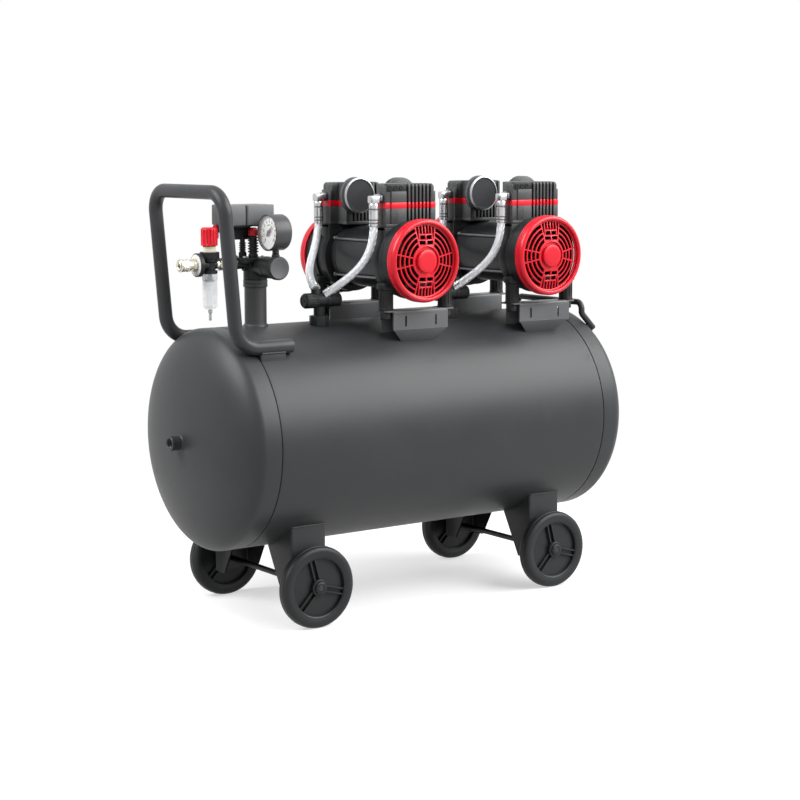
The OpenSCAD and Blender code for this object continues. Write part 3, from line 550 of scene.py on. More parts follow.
def piece(name, shape, material, *stands_for, body=ROOT, slot=None, smooth=0.6, weld=0.01):
    """One finished Blender piece that rides on a body.

    Its finish is the material given, and it hides the CAD nodes that it stands for.
    """
    mesh = bmesh.new()
    points = [mesh.verts.new(Vector(p) * MM) for p in shape[0]]
    for face in shape[1]:
        try:
            mesh.faces.new([points[i] for i in face])
        except ValueError:
            pass
    bmesh.ops.remove_doubles(mesh, verts=mesh.verts[:], dist=weld * MM)
    bmesh.ops.recalc_face_normals(mesh, faces=mesh.faces[:])
    data = bpy.data.meshes.new(name)
    mesh.to_mesh(data)
    mesh.free()
    data.materials.append(material)
    data.shade_smooth()
    data.set_sharp_from_angle(angle=smooth)
    thing = bpy.data.objects.new(name, data)
    scene.collection.objects.link(thing)
    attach(thing, body)
    slot = slot or (NODE_SLOTS[stands_for[0]] if stands_for else None)
    if stands_for:
        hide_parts(*stands_for)
    return thing


def span(node):
    """A CAD node's box, in millimetres."""
    return [[c / MM for c in corner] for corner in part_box(node)]


def middle(node):
    """The middle of a CAD node's box, in millimetres."""
    low, high = span(node)
    return [(a + b) / 2 for a, b in zip(low, high)]


# ---- tank, legs and wheels -------------------------------------------------------

shell_lo, shell_hi = span("tank_shell")
tank_z = middle("tank_shell")[2]
tank_r = (shell_hi[1] - shell_lo[1]) / 2
seam_x, head_end = shell_hi[0], span("tank_heads")[1][0]
skirt = 30.0
tank_top = tank_z + tank_r


def tank_rise(y):
    """Height of the tank's surface over its axis, at a distance to the side."""
    return sqrt(tank_r ** 2 - y ** 2)


def tank():
    """Shell and dished heads in one skin, with a fine weld groove and bead at each seam."""
    side = [(0, head_end)]
    side += [(tank_r * sin(radians(a)),
        seam_x + skirt + (head_end - seam_x - skirt) * cos(radians(a))) for a in range(3, 91, 3)]
    side += [(tank_r, seam_x + 6), (tank_r - 0.1, seam_x + 1.4), (tank_r - 1.5, seam_x + 1.0),
        (tank_r - 1.6, seam_x - 0.6), (tank_r - 0.2, seam_x - 1.0), (tank_r, seam_x - 2.6),
        (tank_r, seam_x - 8)]
    middle_part = [(tank_r, x) for x in (200, 0, -200)]
    whole = side + middle_part + [(r, -x) for r, x in reversed(side)]
    return facing(turned(whole, 160), "x", (0, 0, tank_z))


piece("tank_skin", tank(), coat, "tank_shell", "tank_heads", smooth=0.9)


def end_port():
    """A threaded socket on the middle of a head, with its weld bead and thread grooves."""
    low, out, bore, threads, pitch = head_end - 8, span("end_ports")[1][0], 9.0, 8, 2
    profile = [(12.2, low), (15.5, head_end - 0.6), (13.4, head_end + 1.6), (13, head_end + 3),
        (13, out - 1), (12, out), (10.2, out), (bore, out - 1.2)]
    for k in range(threads):
        profile += [(bore, out - 2.2 - pitch * k), (bore + 0.9, out - 3.1 - pitch * k)]
    profile += [(bore, low + 9), (0, low + 9)]
    return facing(turned([(0, low), *profile], 48), "x", (0, 0, tank_z))


piece("end_ports_skin", join(end_port(), other_end(end_port())), coat, "end_ports")

wheel_x, wheel_z = middle("wheel_front_right")[0], middle("wheel_front_right")[2]
wheel_r = wheel_z
wheel_out = -span("wheel_front_right")[0][1]
wheel_w, spoke_turn = 26.0, -15
axle_r, wheel_bore, trim_bore = 6.0, 6.06, 6.05
leg_out = -span("legs")[0][1]
leg_w, leg_t, leg_low = 73.0, 3.0, span("legs")[0][2]
leg_top = 250.0  # inside the tank


def leg(x):
    """A channel of sheet: a face outside and two cheeks that widen up to the tank."""
    half, deep = leg_w / 2, 82.0
    channel = eased([(-half, deep), (-half, 0), (half, 0), (half, deep)], 5.0, False, 4)
    inner = eased([(half - leg_t, deep), (half - leg_t, leg_t), (-half + leg_t, leg_t),
        (-half + leg_t, deep)], 3.0, False, 4)
    slant = (Vector((0, 34 - leg_out, leg_low)), Vector((0, tank_z - tank_r + 8 - leg_low, -46)))
    sheet = prism([(x + a, b - leg_out) for a, b in channel + inner], "z", leg_low, leg_top, 0.5,
        [slant])
    weld = bar([(x + a, -leg_out + b, tank_z - tank_rise(leg_out - b))
        for a, b in ((-half + 2, 1.5), (-half / 2, 1.5), (0, 1.5), (half / 2, 1.5),
        (half - 2, 1.5))], 2.2, 10)
    boss = facing(turned([(6, 0), (11, 0), (11, 2.4), (10, 3), (6, 3)], 28, ring=True), "-y",
        (x, -leg_out, wheel_z))
    return join(sheet, weld, boss)


legs = [leg(x) for x in (-wheel_x, wheel_x)]
piece("legs_sheet", mirrored(join(*legs)), frame_coat, "legs")


def axle(x):
    """A bar with chamfered ends and a fine groove near each end."""
    reach, r = span("axles")[1][1], axle_r
    half = [(0, reach), (r - 1, reach), (r, reach - 1), (r, reach - 3), (r - 0.6, reach - 3.3)]
    return facing(turned(half + [(a, -b) for a, b in reversed(half)], 24), "y", (x, 0, wheel_z))


piece("axle_bars", join(axle(-wheel_x), axle(wheel_x)), axle_black, "axles")


def wheel_trim(x):
    """The push-on cap outside a wheel and the spacer tube inside it."""
    cap = turned([(trim_bore, 0), (10.6, 0), (10.9, 0.8), (9.4, 2.2), (7.4, 2.6), (trim_bore, 2.5)],
        30, ring=True)
    petals = made(RING, block((6.6, -0.5, 2.3), (10, 0.5, 2.58), 0.1), Count=8)
    gap = leg_out + 0.4
    tube_l = wheel_out - wheel_w - gap - 0.4
    tube = turned([(trim_bore, 0), (10, 0), (11, 0.6), (11, tube_l - 0.6), (10, tube_l),
        (trim_bore, tube_l)], 30, ring=True)
    return join(facing(join(cap, petals), "-y", (x, -wheel_out - 1.4, wheel_z)),
        facing(tube, "-y", (x, -gap, wheel_z)))


trims = [wheel_trim(x) for x in (-wheel_x, wheel_x)]
piece("wheel_caps", mirrored(join(*trims)), dull_black, "wheel_clips")


def wheel():
    """A moulded wheel: rounded tread, stepped rim, thin web, three pairs of ribs, hub.

    Drawn along Z with its outer face up.
    """
    r, w, bore, hub = wheel_r, wheel_w, wheel_bore, 15.0
    rim = 0.71 * r
    half = [(r - 9, 13), (r - 6.5, 12.6), (r - 3, 11), (r - 1.2, 8.4), (r - 0.5, 5.4),
        (r - 1.0, 4.8), (r - 0.9, 4.2), (r, 3.6), (r, 0)]
    tread = half + [(a, -b) for a, b in reversed(half[:-1])]
    body = [(rim, -4), (rim, -10.5), (rim + 1.5, -12), (rim + 5, -12.3), (rim + 6.5, -13)]
    outline = [(bore, -13), (hub - 1, -13), (hub, -12), (hub + 0.6, -4)] + body
    outline += list(reversed(tread))
    outline += [(rim + 6.5, 13), (rim + 5, 12.3), (rim + 2.4, 12), (rim + 1.6, 11), (rim, 10.2),
        (rim - 0.6, 4), (hub + 0.6, 4), (hub, 12), (hub - 1, 13), (bore, 13)]
    solid = turned(outline, 96, ring=True)
    ribs = []
    for side in (-1, 1):
        for face in (-1, 1):
            low, high = sorted((face * 3.6, face * 9.6))
            ribs.append(block((hub - 1, side * 5 - 1.5, low), (rim + 0.6, side * 5 + 1.5, high),
                0.7))
    spokes = made(RING, join(*ribs), Count=3)
    marks = made(RING, block((r - 4.6, -0.5, 11.2), (r - 3.4, 0.5, 11.8), 0.15), Count=60)
    whole = join(solid, spokes, marks)
    return moved(whole, (0, 0, -w / 2), spin("Z", spoke_turn))


def wheel_piece(node):
    x, front = (wheel_x if "right" in node else -wheel_x), "front" in node
    shape = facing(wheel(), "-y", (x, -wheel_out, wheel_z))
    piece(node + "_skin", shape if front else rear(shape), wheel_black, node, body=node)


for node in ("wheel_front_left", "wheel_front_right", "wheel_rear_left", "wheel_rear_right"):
    wheel_piece(node)


# ---- handle and grab bar ---------------------------------------------------------

def lane(corners, radii, steps=10):
    """A line of points through corners, each rounded by a true arc of its own radius."""
    points = [Vector(corners[0])]
    for i in range(1, len(corners) - 1):
        here, radius = Vector(corners[i]), radii[i - 1]
        back = (Vector(corners[i - 1]) - here).normalized()
        on = (Vector(corners[i + 1]) - here).normalized()
        half = back.angle(on) / 2
        middle_way = (back + on).normalized()
        centre = here + middle_way * (radius / sin(half))
        start = here + back * (radius / tan(half))
        end = here + on * (radius / tan(half))
        a, b = start - centre, end - centre
        whole = a.angle(b)
        points += [centre + (a * sin((1 - t) * whole) + b * sin(t * whole)) / sin(whole)
            for t in (k / steps for k in range(steps + 1))]
    points.append(Vector(corners[-1]))
    return [tuple(p) for p in points]


tube_r, handle_y, handle_lean = 12.5, 122.5, radians(5)
handle_hi = span("handle")[1]
foot_end = handle_hi[0]
tube_z = tank_z + sqrt((tank_r + tube_r) ** 2 - handle_y ** 2)
handle_top = handle_hi[2] - tube_r
foot_start = foot_end - 70.0


def handle():
    """One bent tube, open at its feet, on two welded pads."""
    low_bend, top_bend = 44.0, 40.0
    knee = foot_start - low_bend * tan((pi / 2 - handle_lean) / 2)
    top_x = knee - (handle_top - tube_z) * tan(handle_lean)
    solid_from = foot_end - 30
    corners = [(solid_from, -handle_y, tube_z), (knee, -handle_y, tube_z),
        (top_x, -handle_y, handle_top), (top_x, handle_y, handle_top), (knee, handle_y, tube_z),
        (solid_from, handle_y, tube_z)]
    tube = bar(lane(corners, (low_bend, top_bend, top_bend, low_bend), 14), tube_r, 40)
    end = facing(turned(eased([(10.5, 0), (12.5, 0), (12.5, 30), (10.5, 30)], [0, 0, 0.8, 0.5]), 40,
        ring=True), "x", (solid_from, -handle_y, tube_z))
    floor_disc = facing(turned([(0, 0), (10.6, 0)], 40), "x", (solid_from + 3, -handle_y, tube_z))
    low = tank_z + tank_rise(handle_y + 13) - 6
    pad = prism(rectangle((foot_start + 2, -handle_y - 9), (foot_start + 54, -handle_y + 13), 3, 3),
        "z", low, tube_z - tube_r + 4, 0.8)
    weld = bar([(foot_start + a, -handle_y - 9.5, tube_z - tube_r + 3.2) for a in (4, 52)], 1.8,
        10)
    one_side = join(end, floor_disc, pad, weld)
    return join(tube, mirrored(one_side))


piece("handle_tube", handle(), frame_coat, "handle")


def grab_bar():
    """A bent wire bar whose feet lie along the far head."""
    r, y, x, bend = 6.0, 99.0, seam_x + skirt - 2, radians(45)
    low = tank_z + tank_rise(y) + 24.3
    top = span("grab_bar")[1][2] - r
    knee = (x, low - 12 * tan(bend / 2))
    foot = (knee[0] + 43 * sin(bend), knee[1] - 43 * cos(bend))
    corners = [(foot[0], -y, foot[1]), (knee[0], -y, knee[1]), (x, -y, top), (x, y, top),
        (knee[0], y, knee[1]), (foot[0], y, foot[1])]
    bent = bar(lane(corners, (12, 14, 14, 12), 10), r, 28)
    weld = bar([(foot[0] - 16, -y + 1, foot[1] + 8.5), (foot[0] - 3, -y + 1, foot[1] - 5)], 3.4, 12)
    return join(bent, mirrored(weld))


piece("grab_bar_rod", grab_bar(), frame_coat, "grab_bar")

# ---- drain under the tank --------------------------------------------------------

drain_x, drain_z = middle("drain_valve")[0], tank_z - tank_r
stem_bore = 3.06
boss = spun([(12, 3), (12, -13), (11, -14), (8.4, -14.4), (8, -16), (8, -33), (7, -34),
    (stem_bore, -34), (stem_bore, -5)], 40)
flats = hexagon(15.5, -30, -20, 0.8)
piece("drain_body", moved(join(boss, flats), (drain_x, 0, drain_z)), nickel, "drain_valve")
tap_hub = turned([(0, -9), (6, -9), (7, -8), (7, -1.2), (6.4, -0.5), (3, -0.5), (3, 9), (0, 10)],
    36)
tap_wing = prism(rectangle((-14, -2), (14, 2), 1.9, 3), "z", -8.6, -2, 0.7)
piece("drain_tap_wing", moved(join(tap_hub, tap_wing), (drain_x, 0, drain_z - 34)), red,
    "drain_tap", body="drain_tap")

# ---- standpipe and manifold ------------------------------------------------------

pipe_x = middle("standpipe")[0]
pipe_r = 20.0
man_z = middle("coupler_body")[2]
flange_top = man_z + 11
collar_z = man_z - 43
reg_y, reg_z = -70.0, man_z - 6
gauge_at = (middle("gauge_case")[0], middle("gauge_glass")[1], middle("gauge_glass")[2])
safety_x, safety_y = middle("safety_cap")[:2]
cover_lo, cover_hi = span("switch_cover")


def fluted(profile, count, each=8):
    """A profile of (radius, height, groove depth) turned about Z, with grooves along it."""
    steps = count * each
    shape = turned([(max(r, 1e-3), z) for r, z, _ in profile], steps)
    points = []
    for i, (x, y, z) in enumerate(shape[0]):
        radius, _, depth = profile[i // steps]
        phase = cos(tau * (i % steps) / each)
        less = 1 - depth * max(0.0, phase) ** 0.7 / max(radius, 1e-3)
        points.append((x * less, y * less, z))
    return points, shape[1]


def standpipe():
    """The pipe that carries the controls, with its weld bead and a collar."""
    r, c, top, low = pipe_r, collar_z, tank_top, tank_top - 4
    return spun([(r + 3, low), (r + 3.4, top - 0.6), (r + 2.4, top + 1.6), (r + 0.4, top + 3.2),
        (r, top + 5), (r, c - 0.4), (r + 0.6, c), (r + 1.6, c), (r + 2, c + 0.6),
        *groove(r + 2, 0.8, c + 5.6, c + 7.4, 0.6), (r + 2, c + 12.4), (r + 1.4, c + 13)], 72)


piece("standpipe_tube", moved(standpipe(), (pipe_x, 0, 0)), pipe_coat, "standpipe")


def manifold():
    """Cast body with a flange, an outlet arm, a regulator arm, a gauge stem and two plugs."""
    body_r, arm_low = pipe_r + 1.5, collar_z + 13
    body = spun([(body_r - 1, arm_low), (body_r, arm_low + 1), (body_r, flange_top - 12),
        (body_r + 3, flange_top - 10)], 64)
    flange = prism(rectangle((-26 - 12, -22), (26 - 12, 22), 12, 7), "z", flange_top - 10,
        flange_top, 1.0)
    outlet = facing(spun([(10, 20), (10, 36), (10.6, 36.6), (10.6, 39.4), (10, 40), (7.2, 40),
        (7, 38)], 48), "-x", (0, 0, man_z))
    regulator = facing(spun([(17, 0), (17, 34.6), (16.2, 35.2), (16.2, 36), (18.7, 36),
        (19.5, 36.8), *groove(19.5, 0.8, 48, 51), (19.5, 68.8), (18.4, 70), (5.2, 70), (5.2, 66)],
        64), "-y", (0, 0, reg_z))
    gx, gy = gauge_at[0] - pipe_x, gauge_at[1]
    stem = rod(6, reg_z, gauge_at[2] - 36, 30)
    nut = hexagon(14, reg_z + 17, reg_z + 23, 0.8)
    plug = join(spun([(8, 15), (8, 25), (7.4, 25.5)], 36), hexagon(10, 20, 25.49, 0.6))
    return join(body, flange, outlet, regulator, moved(join(stem, nut), (gx, gy, 0)),
        facing(plug, "x", (0, 0, reg_z)), facing(plug, "-x", (0, 0, reg_z)))


piece("manifold_casting", moved(manifold(), (pipe_x, 0, 0)), black, "manifold")
flange_bolts = [screw((pipe_x - 12 + a * 19, b * 15, flange_top), "z", 3.4, 2.6) for a in (-1, 1)
    for b in (-1, 1)]
rim_screw = screw((pipe_x - 12 + 6, -22, flange_top - 5), "-y", 2.8, 1.8)
piece("manifold_bolts", join(*flange_bolts, rim_screw), zinc, slot="axle_steel")

# ---- pressure switch -------------------------------------------------------------

stem_x = pipe_x - 26
cover_x, cover_y, cover_z = cover_lo[0], cover_lo[1], cover_lo[2]
lever_y, lever_z = cover_y + 42, cover_z - 6.5


def switch_base():
    """Ribbed stem, block, floor plate with a notch for the safety valve, and the lever's lug."""
    base = flange_top
    profile = [(0, base + 6), (4.6, base + 6)]
    for k in range(5):
        z = base + 8 + 4 * k
        profile += [(4.6, z), (6.2, z), (6.5, z + 0.3), (6.5, z + 1.7), (6.2, z + 2), (4.6, z + 2)]
    profile += [(4.6, cover_z - 22), (0, cover_z - 22)]
    stem = join(moved(turned(profile, 40), (stem_x, 0, 0)), moved(hexagon(14, base, base + 8, 0.8),
        (stem_x, 0, 0)))
    box = prism(rectangle((stem_x - 16.5, -3), (stem_x + 16.5, 35)), "z", cover_z - 26, cover_z - 3,
        1.2)
    shelf = prism(rectangle((stem_x - 15, -4), (stem_x + 15, 36), 3), "z", cover_z - 12,
        cover_z - 9, 0.5)
    notch, edge = 10.8, cover_y + 3 - safety_y
    half = sqrt(notch ** 2 - edge ** 2)
    start = degrees(atan2(edge, -half)) + 360
    bite = arc(notch, start, degrees(atan2(edge, half)), 20, (safety_x, safety_y))
    x0, x1, y0, y1 = cover_x + 3, cover_hi[0] - 3, cover_y + 3, cover_hi[1] - 3
    floor = prism([(x0, y0), *bite, (x1, y0), (x1, y1), (x0, y1)], "z", cover_z - 3, cover_z, 0.4)
    lug = prism(eased([(lever_y - 10, cover_z - 13.5), (lever_y + 10, cover_z - 13.5),
        (lever_y + 10, cover_z - 2), (lever_y - 10, cover_z - 2)], [4, 4, 0, 0]), "x", cover_x + 3,
        cover_x + 13, 0.5)
    return join(stem, box, shelf, floor, lug)


piece("switch_body", switch_base(), dull_black, "switch_base")

seam_at = cover_x + 36


def switch_cover():
    """Two shells that meet at a seam, with softly rounded edges."""
    y0, y1, z0, z1 = cover_y, cover_hi[1], cover_z, cover_hi[2]
    left = prism(rectangle((cover_x, y0), (seam_at, y1), 4.5, 5), "z", z0, z1, 1.6)
    right = prism(rectangle((seam_at + 1.4, y0), (cover_hi[0], y1), 4.5, 5), "z", z0, z1, 1.6)
    return join(left, right)


piece("switch_hood", switch_cover(), panel, "switch_cover")
seam_fill = block((seam_at - 5, cover_y + 1.6, cover_z + 0.4),
    (seam_at + 6, cover_hi[1] - 1.6, cover_hi[2] - 1.2), 0.8)
piece("switch_seam", seam_fill, dark, slot="black_plastic")


def lever():
    """A flat tab on a pin, with a raised rim and a moulded hub."""
    tab = arc(7.5, 0, 180, 14) + eased([(-7.5, -17), (7.5, -17)], 0, False)
    blade = prism([(lever_y + a, lever_z + b) for a, b in tab], "x", cover_x - 5.2, cover_x - 0.4,
        0.9)
    hub = facing(spun([(6.4, 0), (6.4, 0.4), (5.6, 0.9), (2.4, 0.9), (2, 0.5)], 32), "-x",
        (cover_x - 5.1, lever_y, lever_z))
    grip = made(ROW, block((cover_x - 6, lever_y - 5, lever_z - 15.6),
        (cover_x - 5, lever_y + 5, lever_z - 14.6), 0.3), Count=3, Step=(0.0, 0.0, 2.6))
    pin = facing(spun([(2.94, 0), (2.94, 8.4), (2.4, 9)], 28), "x",
        (cover_x - 0.6, lever_y, lever_z))
    return join(blade, hub, grip, pin)


piece("lever_tab", lever(), dark_red, "switch_lever", body="switch_lever")

# ---- gauge -----------------------------------------------------------------------

gauge_r = (span("gauge_case")[1][1] - span("gauge_case")[0][1]) / 2
half_t = (span("gauge_case")[1][0] - span("gauge_case")[0][0]) / 2
lens_r = gauge_r - 2.2
dial_z = half_t - 6
sweep_from, sweep_over = 135.0, 270.0


def on_gauge(shape):
    """Drawn face up with the dial's top along +X, then turned to face the handle end."""
    return facing(shape, "-x", gauge_at)


def gauge_case():
    """The can, its rolled rim and the floor that the dial lies on."""
    back = [(0, -half_t), (18, -half_t), (26, -half_t + 0.6), (30, -half_t + 2.6),
        (gauge_r - 0.6, -half_t + 6)]
    front = [(gauge_r - 0.6, half_t - 7), (gauge_r, half_t - 6.4), (gauge_r, half_t - 1.2),
        (gauge_r - 0.9, half_t - 0.2), (lens_r + 1, half_t), (lens_r, half_t - 0.6),
        (lens_r, dial_z - 0.2), (0, dial_z - 0.2)]
    return turned(back + front, 96)


piece("gauge_can", join(on_gauge(gauge_case()), moved(rod(6, 0, 6, 30), (gauge_at[0], gauge_at[1],
    gauge_at[2] - gauge_r - 3))), pipe_coat, "gauge_case")
piece("gauge_dial", on_gauge(rod(lens_r - 0.1, dial_z - 0.15, dial_z + 0.05, 72)), white)


def ticks(count, low, high, width):
    """Scale lines round the dial, from one end of the sweep to the other."""
    line = block((low, -width / 2, dial_z), (high, width / 2, dial_z + 0.16), 0)
    turn = -radians(sweep_over) * count / (count - 1)
    marks = made(RING, line, Count=count, Turn=turn)
    return moved(marks, matrix=spin("Z", sweep_from))


def digit(number, radius, size):
    """One number of the scale, as flat raised type."""
    text = bpy.data.curves.new("number", "FONT")
    text.body, text.size, text.extrude, text.offset = str(number), size, 0.05, 0.18
    text.align_x, text.align_y = "CENTER", "CENTER"
    item = bpy.data.objects.new("number", text)
    scene.collection.objects.link(item)
    angle = radians(sweep_from - sweep_over * number / 10)
    upright = spin("Z", -90)
    return moved(taken(item), (radius * cos(angle), radius * sin(angle), dial_z + 0.1), upright)


def band(radius, width, start, end, lift=0.1):
    """A coloured stretch of the scale; angles run from the dial's top towards the rear."""
    line = arc(radius, start, end, 24) + arc(radius - width, end, start, 24)
    return prism(line, "z", dial_z, dial_z + lift, 0)


scale_r, digit_r, digit_size, numbers = 28.0, 19.0, 7.4, 11
scale = [ticks(5 * numbers - 4, 25.6, scale_r, 0.5), ticks(numbers, 23.6, scale_r, 1.2)]
scale += [digit(n, digit_r, digit_size) for n in range(numbers)]
piece("gauge_scale", on_gauge(join(*scale)), ink, weld=0.001)
piece("gauge_scale_green", on_gauge(band(14.4, 2.2, 36, -16)), green)
piece("gauge_scale_red", on_gauge(band(29.6, 1.2, 118, 60)), pink)
piece("gauge_lens", on_gauge(turned([(0, half_t - 2), (lens_r, half_t - 2), (lens_r, half_t - 0.9),
    (lens_r - 1, half_t - 0.6), (0, half_t - 0.5)], 72)), lens_clear, "gauge_glass")

needle_z = half_t - 3.4
needle_turn = spin("Z", -45)
needle_blade = prism([(-8, -2.0), (0, -2.4), (8, -1.4), (8, 1.4), (0, 2.4), (-8, 2.0)], "z",
    needle_z - 0.8, needle_z, 0.15)
needle_tip = prism([(7.9, -1.3), (17, -0.5), (17, 0.5), (7.9, 1.3)], "z", needle_z - 0.8, needle_z,
    0.15)
piece("needle_blade", on_gauge(moved(needle_blade, matrix=needle_turn)), ink, "gauge_needle",
    body="gauge_needle")
piece("needle_tip", on_gauge(moved(needle_tip, matrix=needle_turn)), dark_red, body="gauge_needle",
    slot="red_plastic")
piece("needle_hub", on_gauge(turned([(0, needle_z - 5), (1.5, needle_z - 5), (1.5, needle_z - 1),
    (4, needle_z - 1), (4, needle_z + 0.2), (3.2, needle_z + 0.7), (0, needle_z + 0.8)], 32)), ink,
    body="gauge_needle", slot="black_plastic")

# ---- regulator knob and safety valve ---------------------------------------------

knob_r = 21.0


def regulator_knob():
    """A flat knob with a finely ribbed rim and a shallow dished face."""
    rim = fluted([(0.001, 0.4, 0), (19, 0.4, 0), (knob_r - 0.6, 1.2, 0.3), (knob_r, 1.8, 0.7),
        (knob_r, 10.4, 0.7), (knob_r - 0.6, 11.4, 0.3), (19.6, 12, 0), (19.2, 11.6, 0),
        (0.001, 11.6, 0)], 44, 6)
    stem = spun([(5, 0.5), (5, -5.5), (4.4, -6)], 30)
    return join(rim, stem)


piece("regulator_grip", facing(regulator_knob(), "-y", (pipe_x, reg_y, reg_z)), dull_black,
    "regulator_knob", body="regulator_knob")
piece("regulator_cap", facing(turned([(0, 11.3), (19.1, 11.3), (19.1, 11.7), (18.6, 12), (17.4, 12),
    (17, 11.8), (0, 11.75)], 60), "-y", (pipe_x, reg_y, reg_z)), knob_grey, body="regulator_knob",
    slot="grey_plastic")


def safety_valve():
    """A ribbed body on a hexagon, with the bore for its cap's stem."""
    profile = [(0, 5), (7, 5)]
    for k in range(6):
        z = 9 + 5 * k
        profile += [(7, z), (9.2, z), (9.6, z + 0.4), (9.6, z + 2.1), (9.2, z + 2.5), (7, z + 2.5)]
    profile += [(7, 37.6), (6.6, 38), (stem_bore, 38), (stem_bore, 25), (0, 25)]
    return join(turned(profile, 44), hexagon(17, 0, 6, 0.9))


piece("safety_body", moved(safety_valve(), (safety_x, safety_y, flange_top)), dull_black,
    "safety_valve")
cap_profile = [(0.001, 38.4, 0), (8.0, 38.4, 0), (8.8, 39, 0.5), (8.8, 47.6, 0.5), (8.4, 49, 0.2),
    (6.2, 52.6, 0), (5.4, 53, 0), (0.001, 53, 0)]
cap_stem = spun([(3, 39), (3, 28.4), (2.4, 28)], 24)
piece("safety_button", moved(join(fluted(cap_profile, 16), cap_stem),
    (safety_x, safety_y, flange_top)), red, "safety_cap", body="safety_cap")

# ---- outlet filter and coupler ---------------------------------------------------

filter_x = middle("filter_bonnet")[0]
bonnet_z, disc_x = 10.5, 28.0


def at_filter(shape):
    """A shape drawn round the filter's axis, set in place."""
    return moved(shape, (filter_x, 0, man_z))


def filter_body():
    """The cast post with its arm and disc towards the coupler."""
    post = spun([(13, -16), (14, -15.2), (14, -10.8), (13.2, -10), (10, -9.4), (10, 4), (14.2, 5),
        (15, 5.8), (15, bonnet_z)], 64)
    arm = spun([(8.2, -11), (9, -10.2), (9, disc_x - 8), (10, disc_x - 8), (20, disc_x - 8),
        (21, disc_x - 7), (21, disc_x - 1), (20, disc_x), (6.4, disc_x), (6, disc_x - 0.6),
        (6, 12)], 72)
    ridge = turned([(17, disc_x - 0.1), (18, disc_x - 0.1), (18, disc_x + 0.02),
        (17, disc_x + 0.02)], 60, ring=True)
    return join(post, facing(join(arm, ridge), "-x"))


piece("filter_casting", at_filter(filter_body()), black, "filter_body")
piece("filter_disc_face", at_filter(facing(turned([(9.4, disc_x - 0.3), (18.9, disc_x - 0.3),
    (18.9, disc_x + 0.2), (18.5, disc_x + 0.4), (9.8, disc_x + 0.4), (9.4, disc_x + 0.2)], 60,
    ring=True), "-x")), ring_white)


def filter_bonnet():
    """A grooved skirt with the knob's spindle."""
    skirt = fluted([(0.001, bonnet_z, 0), (17, bonnet_z, 0), (17.5, bonnet_z + 0.6, 0.5),
        (17.5, bonnet_z + 11, 0.5), (16.4, bonnet_z + 12, 0), (0.001, bonnet_z + 12, 0)], 30, 6)
    stem = spun([(6, 30), (6, 44.4), (5.4, 45)], 30)
    return join(skirt, stem)


piece("filter_cap", at_filter(filter_bonnet()), dull_black, "filter_bonnet")
piece("filter_neck", at_filter(spun([(11.5, bonnet_z + 11), *groove(11.5, 0.6, bonnet_z + 16,
    bonnet_z + 18, 0.5), (11.5, bonnet_z + 21.7), (10.9, bonnet_z + 22.3)], 56)), cream)


def filter_knob():
    """A grooved cap over the spindle, domed on top."""
    z = bonnet_z + 22.5
    grip = [(6.1, z + 0.4, 0), (14.2, z + 0.4, 0), (15, z + 1.2, 0.1), (15, z + 2.6, 1.6),
        (15, z + 28, 1.6), (14.6, z + 30.4, 0.8), (13.2, z + 32, 0.2), (11, z + 32.8, 0),
        (0.001, z + 33, 0)]
    inside = [(0.001, z + 12.4, 0), (6.1, z + 12.4, 0)]
    return fluted(inside + grip, 16, 8)


piece("filter_grip", at_filter(filter_knob()), red, "filter_knob", body="filter_knob")


def bowl_line(radius, length):
    """Half outline of the bowl, from its rim to the middle of its rounded base."""
    curve_part = [(radius - 8 + a, -length + 8 + b) for a, b in arc(8, 0, -90, 7)]
    return [(radius, 0), *curve_part, (0, -length)]


outer, inner = bowl_line(13.5, 63), bowl_line(11.5, 61)
bowl = turned(outer + list(reversed(inner)), 64)
ribs = made(RING, block((13.2, -0.7, -12), (14.2, 0.7, -1), 0.3), Count=8)
piece("filter_glass", at_filter(moved(join(bowl, ribs), (0, 0, -16))), bowl_clear, "filter_bowl")
piece("filter_drain_pin", at_filter(turned([(0, -99), (2.2, -99), (2.6, -98.4), (2.6, -86),
    (4, -85), (4, -80.4), (2, -79.4), (0, -79)], 28)), pale_grey, slot="grey_plastic")
piece("filter_baffle", at_filter(spun([(7, -30), (9.6, -28.6), (9.6, -27), (5, -26.4), (4, -17)],
    40)), dull_black, slot="black_plastic")

nipple_x = filter_x + 12


def nipple():
    """A tube with a hexagon at each end."""
    length = 42.0
    tube = spun([(7.4, 0), (8, 0.6), (8, length - 0.6), (7.4, length)], 40)
    return join(tube, hexagon(20, 6, 18, 1.0), hexagon(20, length - 12, length - 2, 1.0))


piece("nipple_turned", facing(nipple(), "x", (nipple_x, 0, man_z)), nickel, "filter_nipple")

coupler_x, coupler_l = filter_x - disc_x, 35.0


def coupler_body():
    """Socket with a hexagon, a bore with two ball grooves and a flared mouth."""
    end = coupler_l
    tube = spun([(8, -1), (8.5, 7), (8.5, end - 0.8), (7.7, end), (6.4, end), (5.0, end - 2),
        (5.0, end - 7), (5.5, end - 7.6), (5.5, end - 9), (5.0, end - 9.6), (5.0, 7.6)], 48)
    return join(tube, hexagon(20, 1, 8, 1.0))


def coupler_sleeve():
    """Knurled sleeve with a wide front rim and a thin rear rim."""
    z0, z1 = 14.0, 33.0
    profile = [(8.56, z0, 0), (11, z0, 0), (11.2, z0 + 0.4, 0), (11.2, z0 + 3.4, 0),
        (10.5, z0 + 4.2, 0), (10.5, z0 + 5, 0.35), (10.5, z1 - 5.4, 0.35), (10.5, z1 - 4.6, 0),
        (11.5, z1 - 3.6, 0), (11.5, z1 - 0.8, 0), (10.9, z1, 0), (9.2, z1, 0), (8.56, z1 - 0.8, 0)]
    return fluted(profile + profile[:1], 36, 4)


piece("coupler_socket", facing(coupler_body(), "-x", (coupler_x, 0, man_z)), nickel, "coupler_body")
piece("coupler_ring", facing(coupler_sleeve(), "-x", (coupler_x, 0, man_z)), nickel,
    "coupler_sleeve", body="coupler_sleeve")

